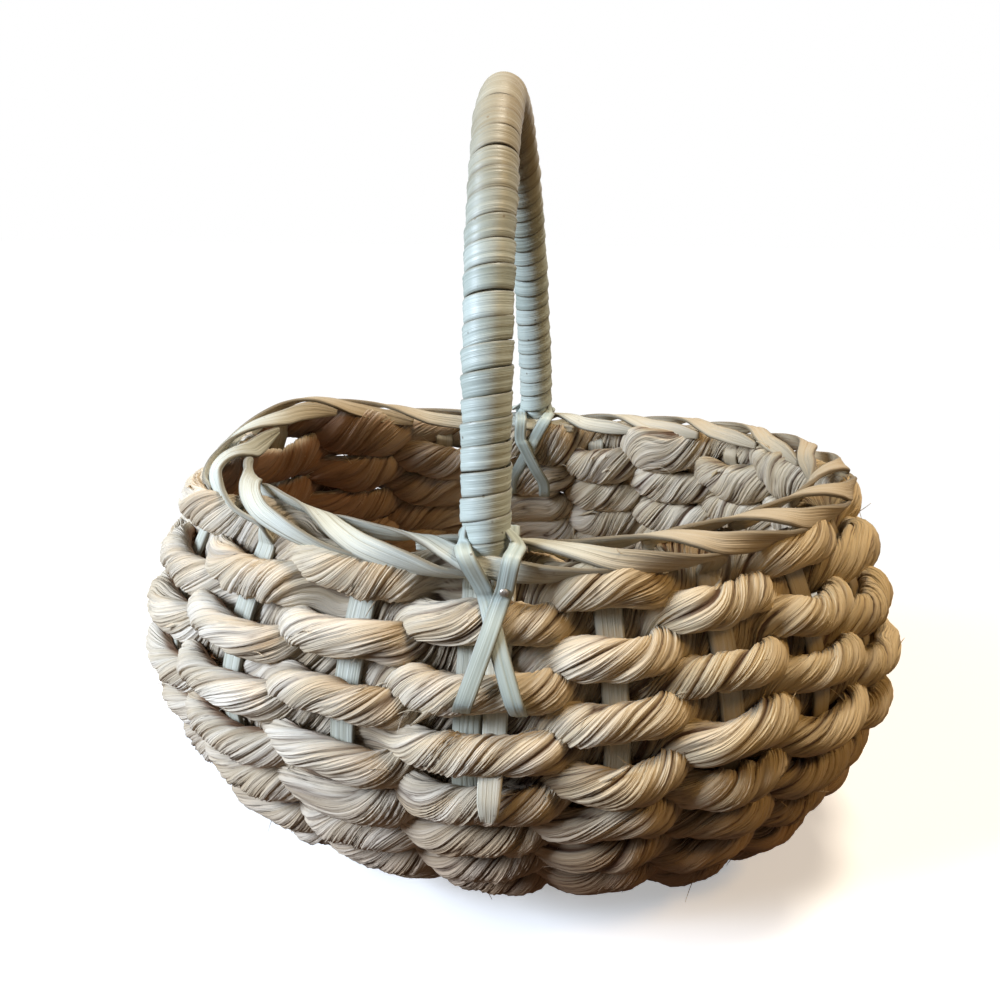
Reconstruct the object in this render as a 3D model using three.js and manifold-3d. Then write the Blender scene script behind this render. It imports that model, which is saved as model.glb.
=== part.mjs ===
// Oval gathering basket: leaf rope in plain weave round flat split stakes, with a lashed overhead handle.
// Millimetres, +Z up. X is the long axis, the handle stands over the Y axis, and the foot rests on Z = 0.
import * as THREE from "three";
import { mergeVertices } from "three/addons/utils/BufferGeometryUtils.js";
import Module from "manifold-3d";

const wasm = await Module();
wasm.setup();

// Overall sizes, outside.
const bellyHalfLength = 170;
const bellyHeight = 92;
const rimHalfLength = 149;
const rimHeight = 150;
const rimSaddle = 7;
const rimCornerRise = 10;
const rimCornerDegrees = 148;
const rimCornerPower = 48;
const shoulderBulge = 4;
const lowerHalfLength = 151;
const lowerHeight = 35;
const footHalfLength = 104;
const heelHalfLength = 118;
const heelRise = 9.5;
const footRise = 1.8;
const footDrift = 16;
const lengthOverWidth = 40;
const handleTop = 324;

// The woven wall.
const rightStakes = 10;
const leftStakes = 8;
const crossRight = 3;
const crossLeft = 2;
const stakeWidth = 10;
const stakeThickness = 1.8;
const ropeThickness = 11.2;
const rowCount = 18;
const footStep = 9.5;
const ropeSwellRatio = 1.28;
const clearance = 0.5;
const footCut = 1.9;
const floorMargin = 7;

// The border that the stake ends make along the rim.
const borderHalfWidth = 7.5;
const borderHalfHeight = 5;
const borderStripWidth = 5.6;
const borderLift = 12;
const borderNeck = 1.5;
const borderDrawLeft = 11;
const borderDrawRight = 3;
const borderBulgeOut = 1.9;
const borderBulgeIn = 4.4;

// The handle.
const handleRodRadius = 6.6;
const handleLean = -6;
const handleSkew = 4;
const handleLegLean = 14;
const wrapThickness = 1.2;
const wrapLoops = 24;
const wrapGap = 1;
const wrapFit = 0.9;
const wrapLift = 11;
const wrapFootGap = 4;
const archFootDrop = 4;
const tailWidth = 8.5;
const tailRows = 8;
const tailDrop = 3.7;
const handleStakeShift = 7.5;

// The lashings and their nails.
const lashWidth = 6;
const lashThickness = 1.2;
const lashClearance = 1;
const lashInnerClearance = 0.9;
const lashBow = 0.6;
const lashBreak = 1;
const lashFlat = 3.1;
const lashTopHalfSpread = 7.5;
const lashFootHalfSpread = 9.5;
const lashRows = 4;
const nailHeadRadius = 1.6;
const nailHeadThickness = 0.9;
const nailShankRadius = 0.7;
const nailAside = 3.6;
const nailDrop = 5;
const nailSeatGap = 1;
const nailHoleGap = 0.3;
const nailHoleOverrun = 10;

const colours = {
  rope: 0xc9b593,
  stake: 0xb9ad8c,
  rod: 0xa58f68,
  wrap: 0xcdc4a6,
  lash: 0xd2c9ad,
  nail: 0x8a8782,
};

const V = (x, y, z) => new THREE.Vector3(x, y, z);
const up = V(0, 0, 1);
const stakeEnds = rightStakes + leftStakes;
const ropeOffset = ropeThickness / 2 + stakeThickness / 2 + clearance;
const wallHalf = ropeOffset + ropeThickness / 2;
const floorLevel = wallHalf - footCut;

// The middle surface of the wall, on which the stakes lie: half length and height down from the rim.
const wallCurve = new THREE.CatmullRomCurve3([
  V(rimHalfLength - wallHalf, 0, rimHeight),
  V((rimHalfLength + bellyHalfLength) / 2 + shoulderBulge - wallHalf, 0, (rimHeight + bellyHeight) / 2),
  V(bellyHalfLength - wallHalf, 0, bellyHeight),
  V(lowerHalfLength - wallHalf, 0, lowerHeight + wallHalf / 3),
  V(heelHalfLength, 0, floorLevel + heelRise),
  V(footHalfLength, 0, floorLevel + footRise),
  V(footHalfLength - footStep, 0, floorLevel),
], false, "centripetal");
wallCurve.arcLengthDivisions = 400;
const wallLength = wallCurve.getLength();
const pitch = wallLength / rowCount;

// Ellipse angles of the stakes, from the near handle foot round to the right: equal steps along the oval at the belly,
// shorter on the right of the handle than on its left.
function stakeAngles() {
  const a = bellyHalfLength - wallHalf;
  const b = a - lengthOverWidth;
  const steps = 8000;
  const length = [0];
  for (let i = 1; i <= steps; i++) {
    const m = ((i - 0.5) / steps) * Math.PI;
    length.push(length[i - 1] + Math.hypot(a * Math.cos(m), b * Math.sin(m)) * (Math.PI / steps));
  }
  const half = (count, start) => Array.from({ length: count }, (_, k) => {
    const wanted = (k / count) * length[steps];
    return start + (length.findIndex((s) => s >= wanted) / steps) * Math.PI;
  });
  const right = half(rightStakes, -Math.PI / 2);
  const left = half(leftStakes, Math.PI / 2);
  const shift = handleStakeShift / (rimHalfLength - wallHalf);
  right[0] -= shift;
  left[0] -= shift;
  return [...right, ...left];
}
const angles = stakeAngles();
const angleAt = (index) => {
  const turn = Math.floor(index / stakeEnds);
  const i = index - turn * stakeEnds;
  const k = Math.floor(i);
  const next = k + 1 < stakeEnds ? angles[k + 1] : angles[0] + 2 * Math.PI;
  return angles[k] + (next - angles[k]) * (i - k) + turn * 2 * Math.PI;
};

// Below the belly the rounds move to the right, so that the foot stands a little off the middle.
const below = (z) => Math.max(1 - z / bellyHeight, 0);
const driftAt = (z) => footDrift * below(z) ** 3;
const driftSlope = (z) => -3 * footDrift * below(z) ** 2 / bellyHeight;

// The rim dips at the handle, rises towards both ends, and stands highest at its far left corner.
// A place on the middle surface: its point, its outward normal, its downward and its sideways tangent.
function wall(angle, run) {
  const u = Math.min(Math.max(run / wallLength, 0), 1);
  const at = wallCurve.getPointAt(u);
  const slope = wallCurve.getTangentAt(u);
  const share = (at.z / rimHeight) ** 2;
  const sine = Math.sin(angle);
  const halfTurn = (angle - THREE.MathUtils.degToRad(rimCornerDegrees)) / 2;
  const corner = Math.cos(halfTurn);
  const saddle = rimSaddle * (1 - sine ** 4) + rimCornerRise * corner ** rimCornerPower;
  const cornerSlope = -rimCornerRise * rimCornerPower / 2 * corner ** (rimCornerPower - 1) * Math.sin(halfTurn);
  const saddleSlope = -4 * rimSaddle * sine ** 3 * Math.cos(angle) + cornerSlope;
  const half = at.x - lengthOverWidth;
  const side = V(-at.x * sine, half * Math.cos(angle), saddleSlope * share).normalize();
  const stretch = 1 + 2 * saddle * at.z / rimHeight ** 2;
  const drifting = driftSlope(at.z) * slope.z;
  const down = V(slope.x * Math.cos(angle) + drifting, slope.x * sine, slope.z * stretch).normalize();
  const out = down.clone().cross(side).normalize();
  const point = V(at.x * Math.cos(angle) + driftAt(at.z), half * sine, at.z + saddle * share);
  return { point, out, down, side };
}

// A place in the border: distances out from and up from the middle of the rim. Towards both ends the stakes lean in over
// the topmost round, most on the left.
function rim(angle, outward, rise) {
  const base = wall(angle, 0);
  const out = V(base.side.y, -base.side.x, 0).normalize();
  const cosine = Math.cos(angle);
  const draw = cosine ** 2 * (cosine > 0 ? borderDrawRight : borderDrawLeft);
  const lean = THREE.MathUtils.clamp((rise + borderLift - borderNeck) / (borderLift - borderNeck), 0, 1);
  const point = base.point.clone().addScaledVector(out, outward - draw * lean);
  point.z += borderLift + rise;
  return { point, out, side: base.side };
}

// Closed surface from rings of points; each ring has the same count, and the run is capped or joined to its start.
function skin(rings, closed) {
  const n = rings[0].length;
  const positions = rings.flat().flatMap((p) => [p.x, p.y, p.z]);
  const faces = [];
  const spans = closed ? rings.length : rings.length - 1;
  for (let i = 0; i < spans; i++) {
    const a = i * n;
    const b = ((i + 1) % rings.length) * n;
    for (let k = 0; k < n; k++) {
      const m = (k + 1) % n;
      faces.push(a + k, b + k, b + m, a + k, b + m, a + m);
    }
  }
  if (!closed) {
    const last = (rings.length - 1) * n;
    for (let k = 1; k < n - 1; k++) {
      faces.push(0, k, k + 1, last, last + k + 1, last + k);
    }
  }
  const geometry = new THREE.BufferGeometry();
  geometry.setAttribute("position", new THREE.Float32BufferAttribute(positions, 3));
  if (volume(positions, faces) < 0) {
    for (let i = 0; i < faces.length; i += 3) {
      [faces[i], faces[i + 1]] = [faces[i + 1], faces[i]];
    }
  }
  geometry.setIndex(faces);
  geometry.computeVertexNormals();
  return geometry;
}

function volume(p, faces) {
  let sum = 0;
  for (let i = 0; i < faces.length; i += 3) {
    const [a, b, c] = [0, 1, 2].map((k) => V(p[3 * faces[i + k]], p[3 * faces[i + k] + 1], p[3 * faces[i + k] + 2]));
    sum += a.dot(b.cross(c));
  }
  return sum;
}

// Flat strip through stations, each with its middle, a half-width vector and a half-thickness vector.
function strip(stations) {
  return skin(stations.map(({ point, half, thick }) => [
    point.clone().add(half).add(thick),
    point.clone().add(half).sub(thick),
    point.clone().sub(half).sub(thick),
    point.clone().sub(half).add(thick),
  ]), false);
}

// Boolean cut of one closed geometry by another.
function solid(geometry) {
  const bare = geometry.clone();
  bare.deleteAttribute("normal");
  bare.deleteAttribute("uv");
  const merged = mergeVertices(bare, 1e-4);
  return new wasm.Manifold(new wasm.Mesh({
    numProp: 3,
    vertProperties: new Float32Array(merged.attributes.position.array),
    triVerts: new Uint32Array(merged.index.array),
  }));
}

function cut(geometry, tool) {
  const mesh = solid(geometry).subtract(solid(tool)).getMesh();
  const result = new THREE.BufferGeometry();
  const count = mesh.vertProperties.length / mesh.numProp;
  const positions = new Float32Array(3 * count);
  for (let i = 0; i < count; i++) {
    positions.set(mesh.vertProperties.subarray(i * mesh.numProp, i * mesh.numProp + 3), 3 * i);
  }
  result.setAttribute("position", new THREE.BufferAttribute(positions, 3));
  result.setIndex(Array.from(mesh.triVerts));
  result.computeVertexNormals();
  return result;
}

const basket = new THREE.Group();
function add(name, geometry, colour, roughness, metalness = 0) {
  const mesh = new THREE.Mesh(geometry, new THREE.MeshStandardMaterial({ color: colour, roughness, metalness }));
  mesh.name = name;
  basket.add(mesh);
}

// Weavers: each round passes outside one stake and inside the next, and its turn differs from the next round's.
const isHandleStake = (i) => i === 0 || i === rightStakes;
const tailCentre = stakeWidth / 2 + clearance + tailWidth / 2;
const tailReach = tailCentre + tailWidth / 2;

function weaver(row) {
  const run = (row + 0.5) * pitch;
  const tallAtStake = (pitch / 2) * ropeSwellRatio;
  const tallBetween = (angle) => {
    const room = wall(angle, run + pitch / 2).point.distanceTo(wall(angle, run - pitch / 2).point);
    return Math.min(room, pitch) / 2 - clearance / 2;
  };
  const ring = (place, offset, tall) => [
    [1, 0.32], [0, 1], [-1, 0.32], [-1, -0.32], [0, -1], [1, -0.32],
  ].map(([a, b]) => {
    const p = place.point.clone()
      .addScaledVector(place.out, offset + a * ropeThickness / 2)
      .addScaledVector(place.down, b * tall);
    p.z = Math.max(p.z, 0);
    return p;
  });
  const rings = [];
  for (let i = 0; i < stakeEnds; i++) {
    const place = wall(angles[i], run);
    const offset = (i + row) % 2 === 0 ? -ropeOffset : ropeOffset;
    const before = stakeWidth / 2 + clearance;
    const after = isHandleStake(i) && row < tailRows ? tailReach + clearance : before;
    for (const along of [-before, after]) {
      const moved = { ...place, point: place.point.clone().addScaledVector(place.side, along) };
      rings.push(ring(moved, offset, tallAtStake));
    }
    const between = angleAt(i + 0.5);
    rings.push(ring(wall(between, run), 0, tallBetween(between)));
  }
  return skin(rings, true);
}
for (let row = 0; row < rowCount; row++) {
  add(`weaver_${String(row + 1).padStart(2, "0")}`, weaver(row), colours.rope, 0.9);
}

// Border: round the rim from below the outside, over the top and down the inside, while the strip runs clockwise.
const turnSteps = [[0, -50], [0.25, -33], [0.5, -13], [0.75, 6], [1, 25], [1.2, 55], [1.4, 90], [1.6, 125], [1.8, 150],
  [2, 160], [2.3, 172], [2.6, 185]];

function borderPlace(index, turnDegrees) {
  const angle = angleAt(index);
  const turn = THREE.MathUtils.degToRad(turnDegrees);
  const handleAngle = Math.round((angle - Math.PI / 2) / Math.PI) * Math.PI + Math.PI / 2;
  const away = Math.abs(angle - handleAngle) * (rimHalfLength - wallHalf);
  const near = 1 - THREE.MathUtils.smoothstep(away, 1.6 * handleRodRadius, 4 * handleRodRadius);
  const bulge = Math.cos(turn) > 0 ? borderBulgeOut : borderBulgeIn;
  const wide = borderHalfWidth + near * bulge;
  const place = rim(angle, wide * Math.cos(turn), borderHalfHeight * Math.sin(turn));
  const radial = place.out.clone().multiplyScalar(borderHalfHeight * Math.cos(turn))
    .addScaledVector(up, wide * Math.sin(turn)).normalize();
  const across = place.out.clone().multiplyScalar(-wide * Math.sin(turn))
    .addScaledVector(up, borderHalfHeight * Math.cos(turn)).normalize();
  return { point: place.point, side: place.side, radial, across };
}

// Places down the wall where a stake is bent: the rim and the middle of every round.
const stakeRuns = [0];
for (let row = 0; row < rowCount; row++) {
  stakeRuns.push((row + 0.5) * pitch);
}

// From the cut end of the border tail down to the floor, for one stake end.
function stakeSide(i) {
  const stations = [];
  for (const [past, turn] of turnSteps.slice(1).reverse()) {
    const place = borderPlace(i - past, turn);
    stations.push({
      point: place.point,
      half: place.across.clone().multiplyScalar(borderStripWidth / 2),
      thick: place.radial.clone().multiplyScalar(stakeThickness / 2),
    });
  }
  const corner = borderPlace(i, turnSteps[0][1]);
  stations.push({
    point: corner.point,
    half: corner.across.clone().multiplyScalar(borderStripWidth / 2).addScaledVector(corner.side, stakeWidth / 2),
    thick: corner.radial.clone().multiplyScalar(stakeThickness / 2),
  });
  const neck = rim(angles[i], 0, borderNeck - borderLift);
  stations.push({
    point: neck.point,
    half: neck.side.clone().multiplyScalar(stakeWidth / 2),
    thick: neck.out.clone().multiplyScalar(stakeThickness / 2),
  });
  for (const run of stakeRuns) {
    const place = wall(angles[i], run);
    stations.push({
      point: place.point,
      half: place.side.clone().multiplyScalar(stakeWidth / 2),
      thick: place.out.clone().multiplyScalar(stakeThickness / 2),
    });
  }
  return stations;
}

// Floor: straight strips that interlace, with every crossing flat and the change of level between crossings.
const floorHalfLength = footHalfLength - footStep - floorMargin;
const floorHalfWidth = floorHalfLength - lengthOverWidth;
const layer = (stakeThickness + clearance) / 2;
const crossEnds = [];
for (let k = -crossLeft; k <= crossRight; k++) {
  crossEnds.push([(k + stakeEnds) % stakeEnds, rightStakes - k]);
}
const longEnds = [];
for (let k = crossRight + 1; k < rightStakes - crossRight; k++) {
  longEnds.push([k, rightStakes + leftStakes / 2 + rightStakes / 2 - k]);
}
const floorX = (i) => driftAt(floorLevel) + (isHandleStake(i) ? 0 : floorHalfLength * Math.cos(angles[i]));
const crossX = crossEnds.map(([i]) => floorX(i));
const floorPoint = (i) => [floorX(i), floorHalfWidth * Math.sin(angles[i])];
const longLines = longEnds.map(([right, left]) => {
  const [x1, y1] = floorPoint(right);
  const [x2, y2] = floorPoint(left);
  return { start: x1, end: x2, at: (x) => y1 + ((y2 - y1) * (x - x1)) / (x2 - x1) };
});

function floorRun(aside, crossings, start, end, alongX, parity) {
  const place = (s, z) => ({
    point: alongX ? V(s, aside(s), z) : V(aside(s), s, z),
    half: (alongX ? V(0, 1, 0) : V(1, 0, 0)).multiplyScalar(stakeWidth / 2),
    thick: V(0, 0, -stakeThickness / 2),
  });
  const stations = [place(start, floorLevel)];
  crossings.forEach((c, k) => {
    const z = floorLevel + ((k + parity) % 2 === 0 ? layer : -layer);
    const reach = stakeWidth / 2 + clearance;
    const order = end > start ? [c - reach, c + reach] : [c + reach, c - reach];
    order.forEach((s) => stations.push(place(s, z)));
  });
  stations.push(place(end, floorLevel));
  return stations;
}

crossEnds.forEach(([near, far], j) => {
  const reach = floorHalfWidth * Math.abs(Math.sin(angles[near]));
  const crossings = longLines.map((line) => line.at(crossX[j]));
  const floor = floorRun(() => crossX[j], crossings, -reach, reach, false, j);
  const back = stakeSide(far).reverse();
  back.forEach((s) => s.half.negate());
  add(`cross_stake_${j + 1}`, strip([...stakeSide(near), ...floor, ...back]), colours.stake, 0.75);
});
longEnds.forEach(([right, left], k) => {
  const line = longLines[k];
  const across = [...crossX].reverse();
  const floor = floorRun(line.at, across, line.start, line.end, true, k + across.length);
  const back = stakeSide(left).reverse();
  back.forEach((s) => s.half.negate());
  add(`long_stake_${k + 1}`, strip([...stakeSide(right), ...floor, ...back]), colours.stake, 0.75);
});

// Handle arch: its middle line from the near foot over the top to the far foot, and a frame along it.
const legHalfSpan = rimHalfLength - wallHalf - lengthOverWidth;
const archFoot = rimHeight + borderLift + wrapLift - archFootDrop;
const wrapInner = handleRodRadius + wrapFit;
const wrapOuter = wrapInner + wrapThickness;
const archRise = handleTop - wrapOuter - archFoot;
const archHalf = new THREE.CubicBezierCurve3(
  V(-handleSkew, -legHalfSpan, archFoot),
  V(handleLean / 2 - handleSkew / 2, -legHalfSpan + handleLegLean, archFoot + 0.62 * archRise),
  V(handleLean, -0.56 * legHalfSpan, archFoot + archRise),
  V(handleLean, 0, archFoot + archRise),
);
const archOther = new THREE.CubicBezierCurve3(
  V(handleLean, 0, archFoot + archRise),
  V(handleLean, 0.56 * legHalfSpan, archFoot + archRise),
  V(handleLean / 2 + handleSkew, legHalfSpan - handleLegLean, archFoot + 0.62 * archRise),
  V(handleSkew, legHalfSpan, archFoot),
);
const arch = new THREE.CurvePath();
arch.add(archHalf);
arch.add(archOther);
archHalf.arcLengthDivisions = 400;
archOther.arcLengthDivisions = 400;
const archLength = arch.getLength();
const onArch = (run, angle, radius) => {
  const u = Math.min(Math.max(run / archLength, 0), 1);
  const middleLine = arch.getPointAt(u);
  const along = arch.getTangentAt(u);
  const outward = V(1, 0, 0).cross(along).normalize();
  const sideways = along.clone().cross(outward).normalize();
  return middleLine.addScaledVector(outward, radius * Math.cos(angle)).addScaledVector(sideways, radius * Math.sin(angle));
};

// Rod: round along the arch, shaved to a flat tail that goes down beside the stake.
const rodSides = 8;
const rodSteps = 25;
function tailRings(handleEnd) {
  const angle = handleEnd === 0 ? -Math.PI / 2 : Math.PI / 2;
  const rings = [];
  const tailAt = (place, along, halfWidth, halfThick) => {
    const ring = [];
    for (let k = 0; k < rodSides; k++) {
      const q = ((k + 0.5) / rodSides) * 2 * Math.PI;
      const squareX = Math.max(-1, Math.min(1, Math.sin(q) * 1.35));
      const squareY = Math.max(-1, Math.min(1, Math.cos(q) * 1.35));
      ring.push(place.point.clone()
        .addScaledVector(place.side, along + squareX * halfWidth)
        .addScaledVector(place.out, squareY * halfThick));
    }
    return ring;
  };
  const beside = tailCentre - handleStakeShift;
  rings.push(tailAt(rim(angle, 0, -tailDrop), beside, tailWidth / 2, stakeThickness / 2));
  for (const run of stakeRuns.slice(0, tailRows + 1)) {
    rings.push(tailAt(wall(angles[handleEnd], run), tailCentre, tailWidth / 2, stakeThickness / 2));
  }
  return rings;
}
function rodGeometry() {
  const rings = [];
  for (let i = 0; i <= rodSteps; i++) {
    const ring = [];
    for (let k = 0; k < rodSides; k++) {
      ring.push(onArch((i / rodSteps) * archLength, ((k + 0.5) / rodSides) * 2 * Math.PI, handleRodRadius));
    }
    rings.push(ring);
  }
  const near = tailRings(0).reverse();
  const far = tailRings(rightStakes).map((ring) => ring.map((p, k) => ring[(rodSides - 1 - k) % rodSides]));
  return skin([...near, ...rings, ...far], false);
}

// Wrap: one flat strip wound along the rod from foot to foot.
const wrapStart = wrapFootGap;
const wrapRun = archLength - 2 * wrapStart;
const wrapPitch = wrapRun / wrapLoops;
const wrapWidth = wrapPitch - wrapGap;
const wrapSteps = 8;
const wrapRings = [];
let wrapLeastGap = Infinity;
for (let i = 0; i <= (wrapLoops - 1) * wrapSteps; i++) {
  const angle = ((i + 0.5) / wrapSteps) * 2 * Math.PI;
  const run = wrapStart + wrapPitch / 2 + (i / wrapSteps) * wrapPitch;
  wrapRings.push([[1, wrapOuter], [1, wrapInner], [-1, wrapInner], [-1, wrapOuter]]
    .map(([side, radius]) => onArch(run + side * wrapWidth / 2, angle, radius)));
  if (i + wrapSteps <= (wrapLoops - 1) * wrapSteps) {
    const edge = onArch(run + wrapWidth / 2, angle, wrapInner);
    const next = onArch(run + wrapPitch - wrapWidth / 2, angle, wrapInner);
    wrapLeastGap = Math.min(wrapLeastGap, edge.distanceTo(next));
  }
}
add("handle_wrap", skin(wrapRings, false), colours.wrap, 0.6);
console.log("handle_wrap least gap to itself (mm):", wrapLeastGap.toFixed(2));

// Lashings: crossed strips outside and inside the wall at each foot, the second of each pair over the first.
// The topmost round passes inside the handle's stake, so the outer strips first bear on the round below it.
function lashStations(handleEnd, outside, over) {
  const angle = handleEnd === 0 ? -Math.PI / 2 : Math.PI / 2;
  const face = outside ? 1 : -1;
  const lean = over ? 1 : -1;
  const lift = (outside ? lashClearance : lashInnerClearance) + lashThickness / 2 + (over ? lashThickness + clearance : 0);
  const borderFace = borderHalfWidth + (outside ? borderBulgeOut : borderBulgeIn) + stakeThickness / 2;
  const topRise = wrapLift - wrapThickness;
  const levels = [
    { rise: topRise, out: wrapOuter },
    { rise: borderHalfHeight + lashBreak, out: borderFace },
    { rise: -nailDrop, out: borderFace + lashBow, nailed: true },
    { rise: -nailDrop - lashFlat, out: borderFace + lashBow },
  ];
  const places = levels.map(({ rise, out, nailed }) => {
    const p = rim(angle, face * (out + lift), rise);
    return { ...p, outward: p.out, nailed };
  });
  for (let row = outside ? 1 : 0; row < lashRows; row++) {
    const p = wall(angle, (row + 0.5) * pitch);
    places.push({ point: p.point.addScaledVector(p.out, face * (wallHalf + lift)), side: p.side, outward: p.out });
  }
  const top = places[0].point.z;
  const nailed = places.find((p) => p.nailed).point.z;
  const foot = places[places.length - 1].point.z;
  const slant = V(-lean * (lashTopHalfSpread + lashFootHalfSpread), 0, foot - top).normalize();
  return places.map((p) => {
    const above = (p.point.z - nailed) / (top - nailed);
    const below = (nailed - p.point.z) / (nailed - foot);
    const aside = above > 0 ? above * (lashTopHalfSpread - nailAside) : -below * (lashFootHalfSpread + nailAside);
    const along = lean * (nailAside + aside);
    const across = p.side.clone().multiplyScalar(lashWidth / 2 / Math.abs(slant.z));
    return {
      point: p.point.clone().addScaledVector(p.side, along),
      half: across,
      thick: p.outward.clone().multiplyScalar(lashThickness / 2),
      outward: p.outward,
      nailed: p.nailed,
    };
  });
}

// Nail: its head on the outer crossed strip, its shank through that strip and through the rod's flat tail.
function nailTool(seat, radius, length, start) {
  const geometry = new THREE.CylinderGeometry(radius, radius, length, 10);
  geometry.translate(0, start + length / 2, 0);
  geometry.applyQuaternion(new THREE.Quaternion().setFromUnitVectors(V(0, 1, 0), seat.outward));
  geometry.translate(seat.point.x, seat.point.y, seat.point.z);
  return geometry;
}
function nailGeometry(seat, depth) {
  const face = lashThickness / 2 + nailSeatGap;
  const profile = [
    [0, -depth], [nailShankRadius, -depth + nailShankRadius], [nailShankRadius, face], [nailHeadRadius, face],
    [nailHeadRadius * 0.8, face + nailHeadThickness * 0.7], [0, face + nailHeadThickness],
  ].map(([r, y]) => new THREE.Vector2(r, y));
  const geometry = new THREE.LatheGeometry(profile, 10);
  geometry.applyQuaternion(new THREE.Quaternion().setFromUnitVectors(V(0, 1, 0), seat.outward));
  geometry.translate(seat.point.x, seat.point.y, seat.point.z);
  return geometry;
}

let rod = rodGeometry();
for (const [end, handleEnd] of [["near", 0], ["far", rightStakes]]) {
  for (const [face, outside] of [["outer", true], ["inner", false]]) {
    const under = lashStations(handleEnd, outside, false);
    const over = lashStations(handleEnd, outside, true);
    if (!outside) {
      add(`${end}_${face}_lash_under`, strip(under), colours.lash, 0.6);
      add(`${end}_${face}_lash_over`, strip(over), colours.lash, 0.6);
      continue;
    }
    const seat = over.find((station) => station.nailed);
    const angle = handleEnd === 0 ? -Math.PI / 2 : Math.PI / 2;
    const depth = seat.point.clone().sub(rim(angle, 0, 0).point).dot(seat.outward) + stakeThickness / 2;
    const holeLength = depth + 2 * nailHoleOverrun;
    const hole = nailTool(seat, nailShankRadius + nailHoleGap, holeLength, -depth - nailHoleOverrun);
    add(`${end}_${face}_lash_under`, strip(under), colours.lash, 0.6);
    add(`${end}_${face}_lash_over`, cut(strip(over), hole), colours.lash, 0.6);
    rod = cut(rod, hole);
    add(`${end}_lash_nail`, nailGeometry(seat, depth), colours.nail, 0.45, 0.8);
  }
}
add("handle_rod", rod, colours.rod, 0.7);

export default basket;
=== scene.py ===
"""Looks of an oval gathering basket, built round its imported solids.

Thick twisted leaf rope is woven round flat split stakes. The stakes' own ends make the border, and the
handle is a bent rod wound with a flat strip, lashed and nailed at both feet. Sizes are millimetres in the
basket's own frame: +Z up, X along the basket, the handle over the Y axis with its near foot at -Y. They
become metres when a mesh is made. Sizes in materials, lamps and the floor are metres.
"""
import math

import bpy
import numpy as np
from mathutils import Matrix


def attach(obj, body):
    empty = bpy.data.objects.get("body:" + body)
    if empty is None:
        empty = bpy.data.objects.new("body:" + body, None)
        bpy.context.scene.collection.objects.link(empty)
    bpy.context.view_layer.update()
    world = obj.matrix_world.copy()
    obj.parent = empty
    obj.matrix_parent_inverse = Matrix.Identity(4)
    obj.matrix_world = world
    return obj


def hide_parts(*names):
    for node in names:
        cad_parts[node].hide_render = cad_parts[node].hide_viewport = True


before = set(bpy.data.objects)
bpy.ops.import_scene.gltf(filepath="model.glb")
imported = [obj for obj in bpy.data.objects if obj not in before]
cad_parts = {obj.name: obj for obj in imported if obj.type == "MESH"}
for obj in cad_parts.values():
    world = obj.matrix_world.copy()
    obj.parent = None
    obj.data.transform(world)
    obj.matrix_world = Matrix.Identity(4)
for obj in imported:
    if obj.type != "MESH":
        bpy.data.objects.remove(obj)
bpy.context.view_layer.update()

MM = 0.001
TAU = 2 * math.pi
UP = np.array([0.0, 0.0, 1.0])

# The woven wall, with the sizes of the solids.
BELLY_HALF = 170.0
BELLY_HEIGHT = 92.0
RIM_HALF = 149.0
RIM_HEIGHT = 150.0
RIM_SADDLE = 7.0
RIM_CORNER_RISE = 10.0
RIM_CORNER = math.radians(148.0)
RIM_CORNER_POWER = 48
SHOULDER_BULGE = 4.0
LOWER_HALF = 151.0
LOWER_HEIGHT = 35.0
HEEL_HALF = 118.0
HEEL_RISE = 9.5
FOOT_HALF = 104.0
FOOT_RISE = 1.8
FOOT_DRIFT = 16.0
LENGTH_OVER_WIDTH = 40.0
RIGHT_STAKES = 10
LEFT_STAKES = 8
STAKE_ENDS = RIGHT_STAKES + LEFT_STAKES
CROSS_RIGHT = 3
CROSS_LEFT = 2
STAKE_WIDTH = 10.0
STAKE_THICKNESS = 1.8
ROPE_THICKNESS = 11.2
ROWS = 18
FOOT_STEP = 9.5
CLEARANCE = 0.5
FOOT_CUT = 1.9
FLOOR_MARGIN = 7.0
HANDLE_STAKE_SHIFT = 7.5
ROPE_OFFSET = ROPE_THICKNESS / 2 + STAKE_THICKNESS / 2 + CLEARANCE
WALL_HALF = ROPE_OFFSET + ROPE_THICKNESS / 2
FLOOR_LEVEL = WALL_HALF - FOOT_CUT
RIM_MIDDLE = RIM_HALF - WALL_HALF

# The border. Its turns are pairs of stakes passed and degrees round the border's axis.
BORDER_HALF_WIDTH = 7.5
BORDER_HALF_HEIGHT = 5.0
BORDER_LIFT = 12.0
BORDER_NECK = 1.5
BORDER_DRAW_LEFT = 11.0
BORDER_DRAW_RIGHT = 3.0
BORDER_BULGE_OUT = 1.9
BORDER_BULGE_IN = 4.4
BORDER_WIDTH = 8.2
FAR_NARROWING = 0.5
BORDER_TURN = np.array([
    [0, -50], [0.25, -33], [0.5, -13], [0.75, 6], [1, 25], [1.2, 55], [1.4, 90], [1.6, 125], [1.8, 150],
    [2, 160], [2.3, 172], [2.6, 185]])

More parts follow.
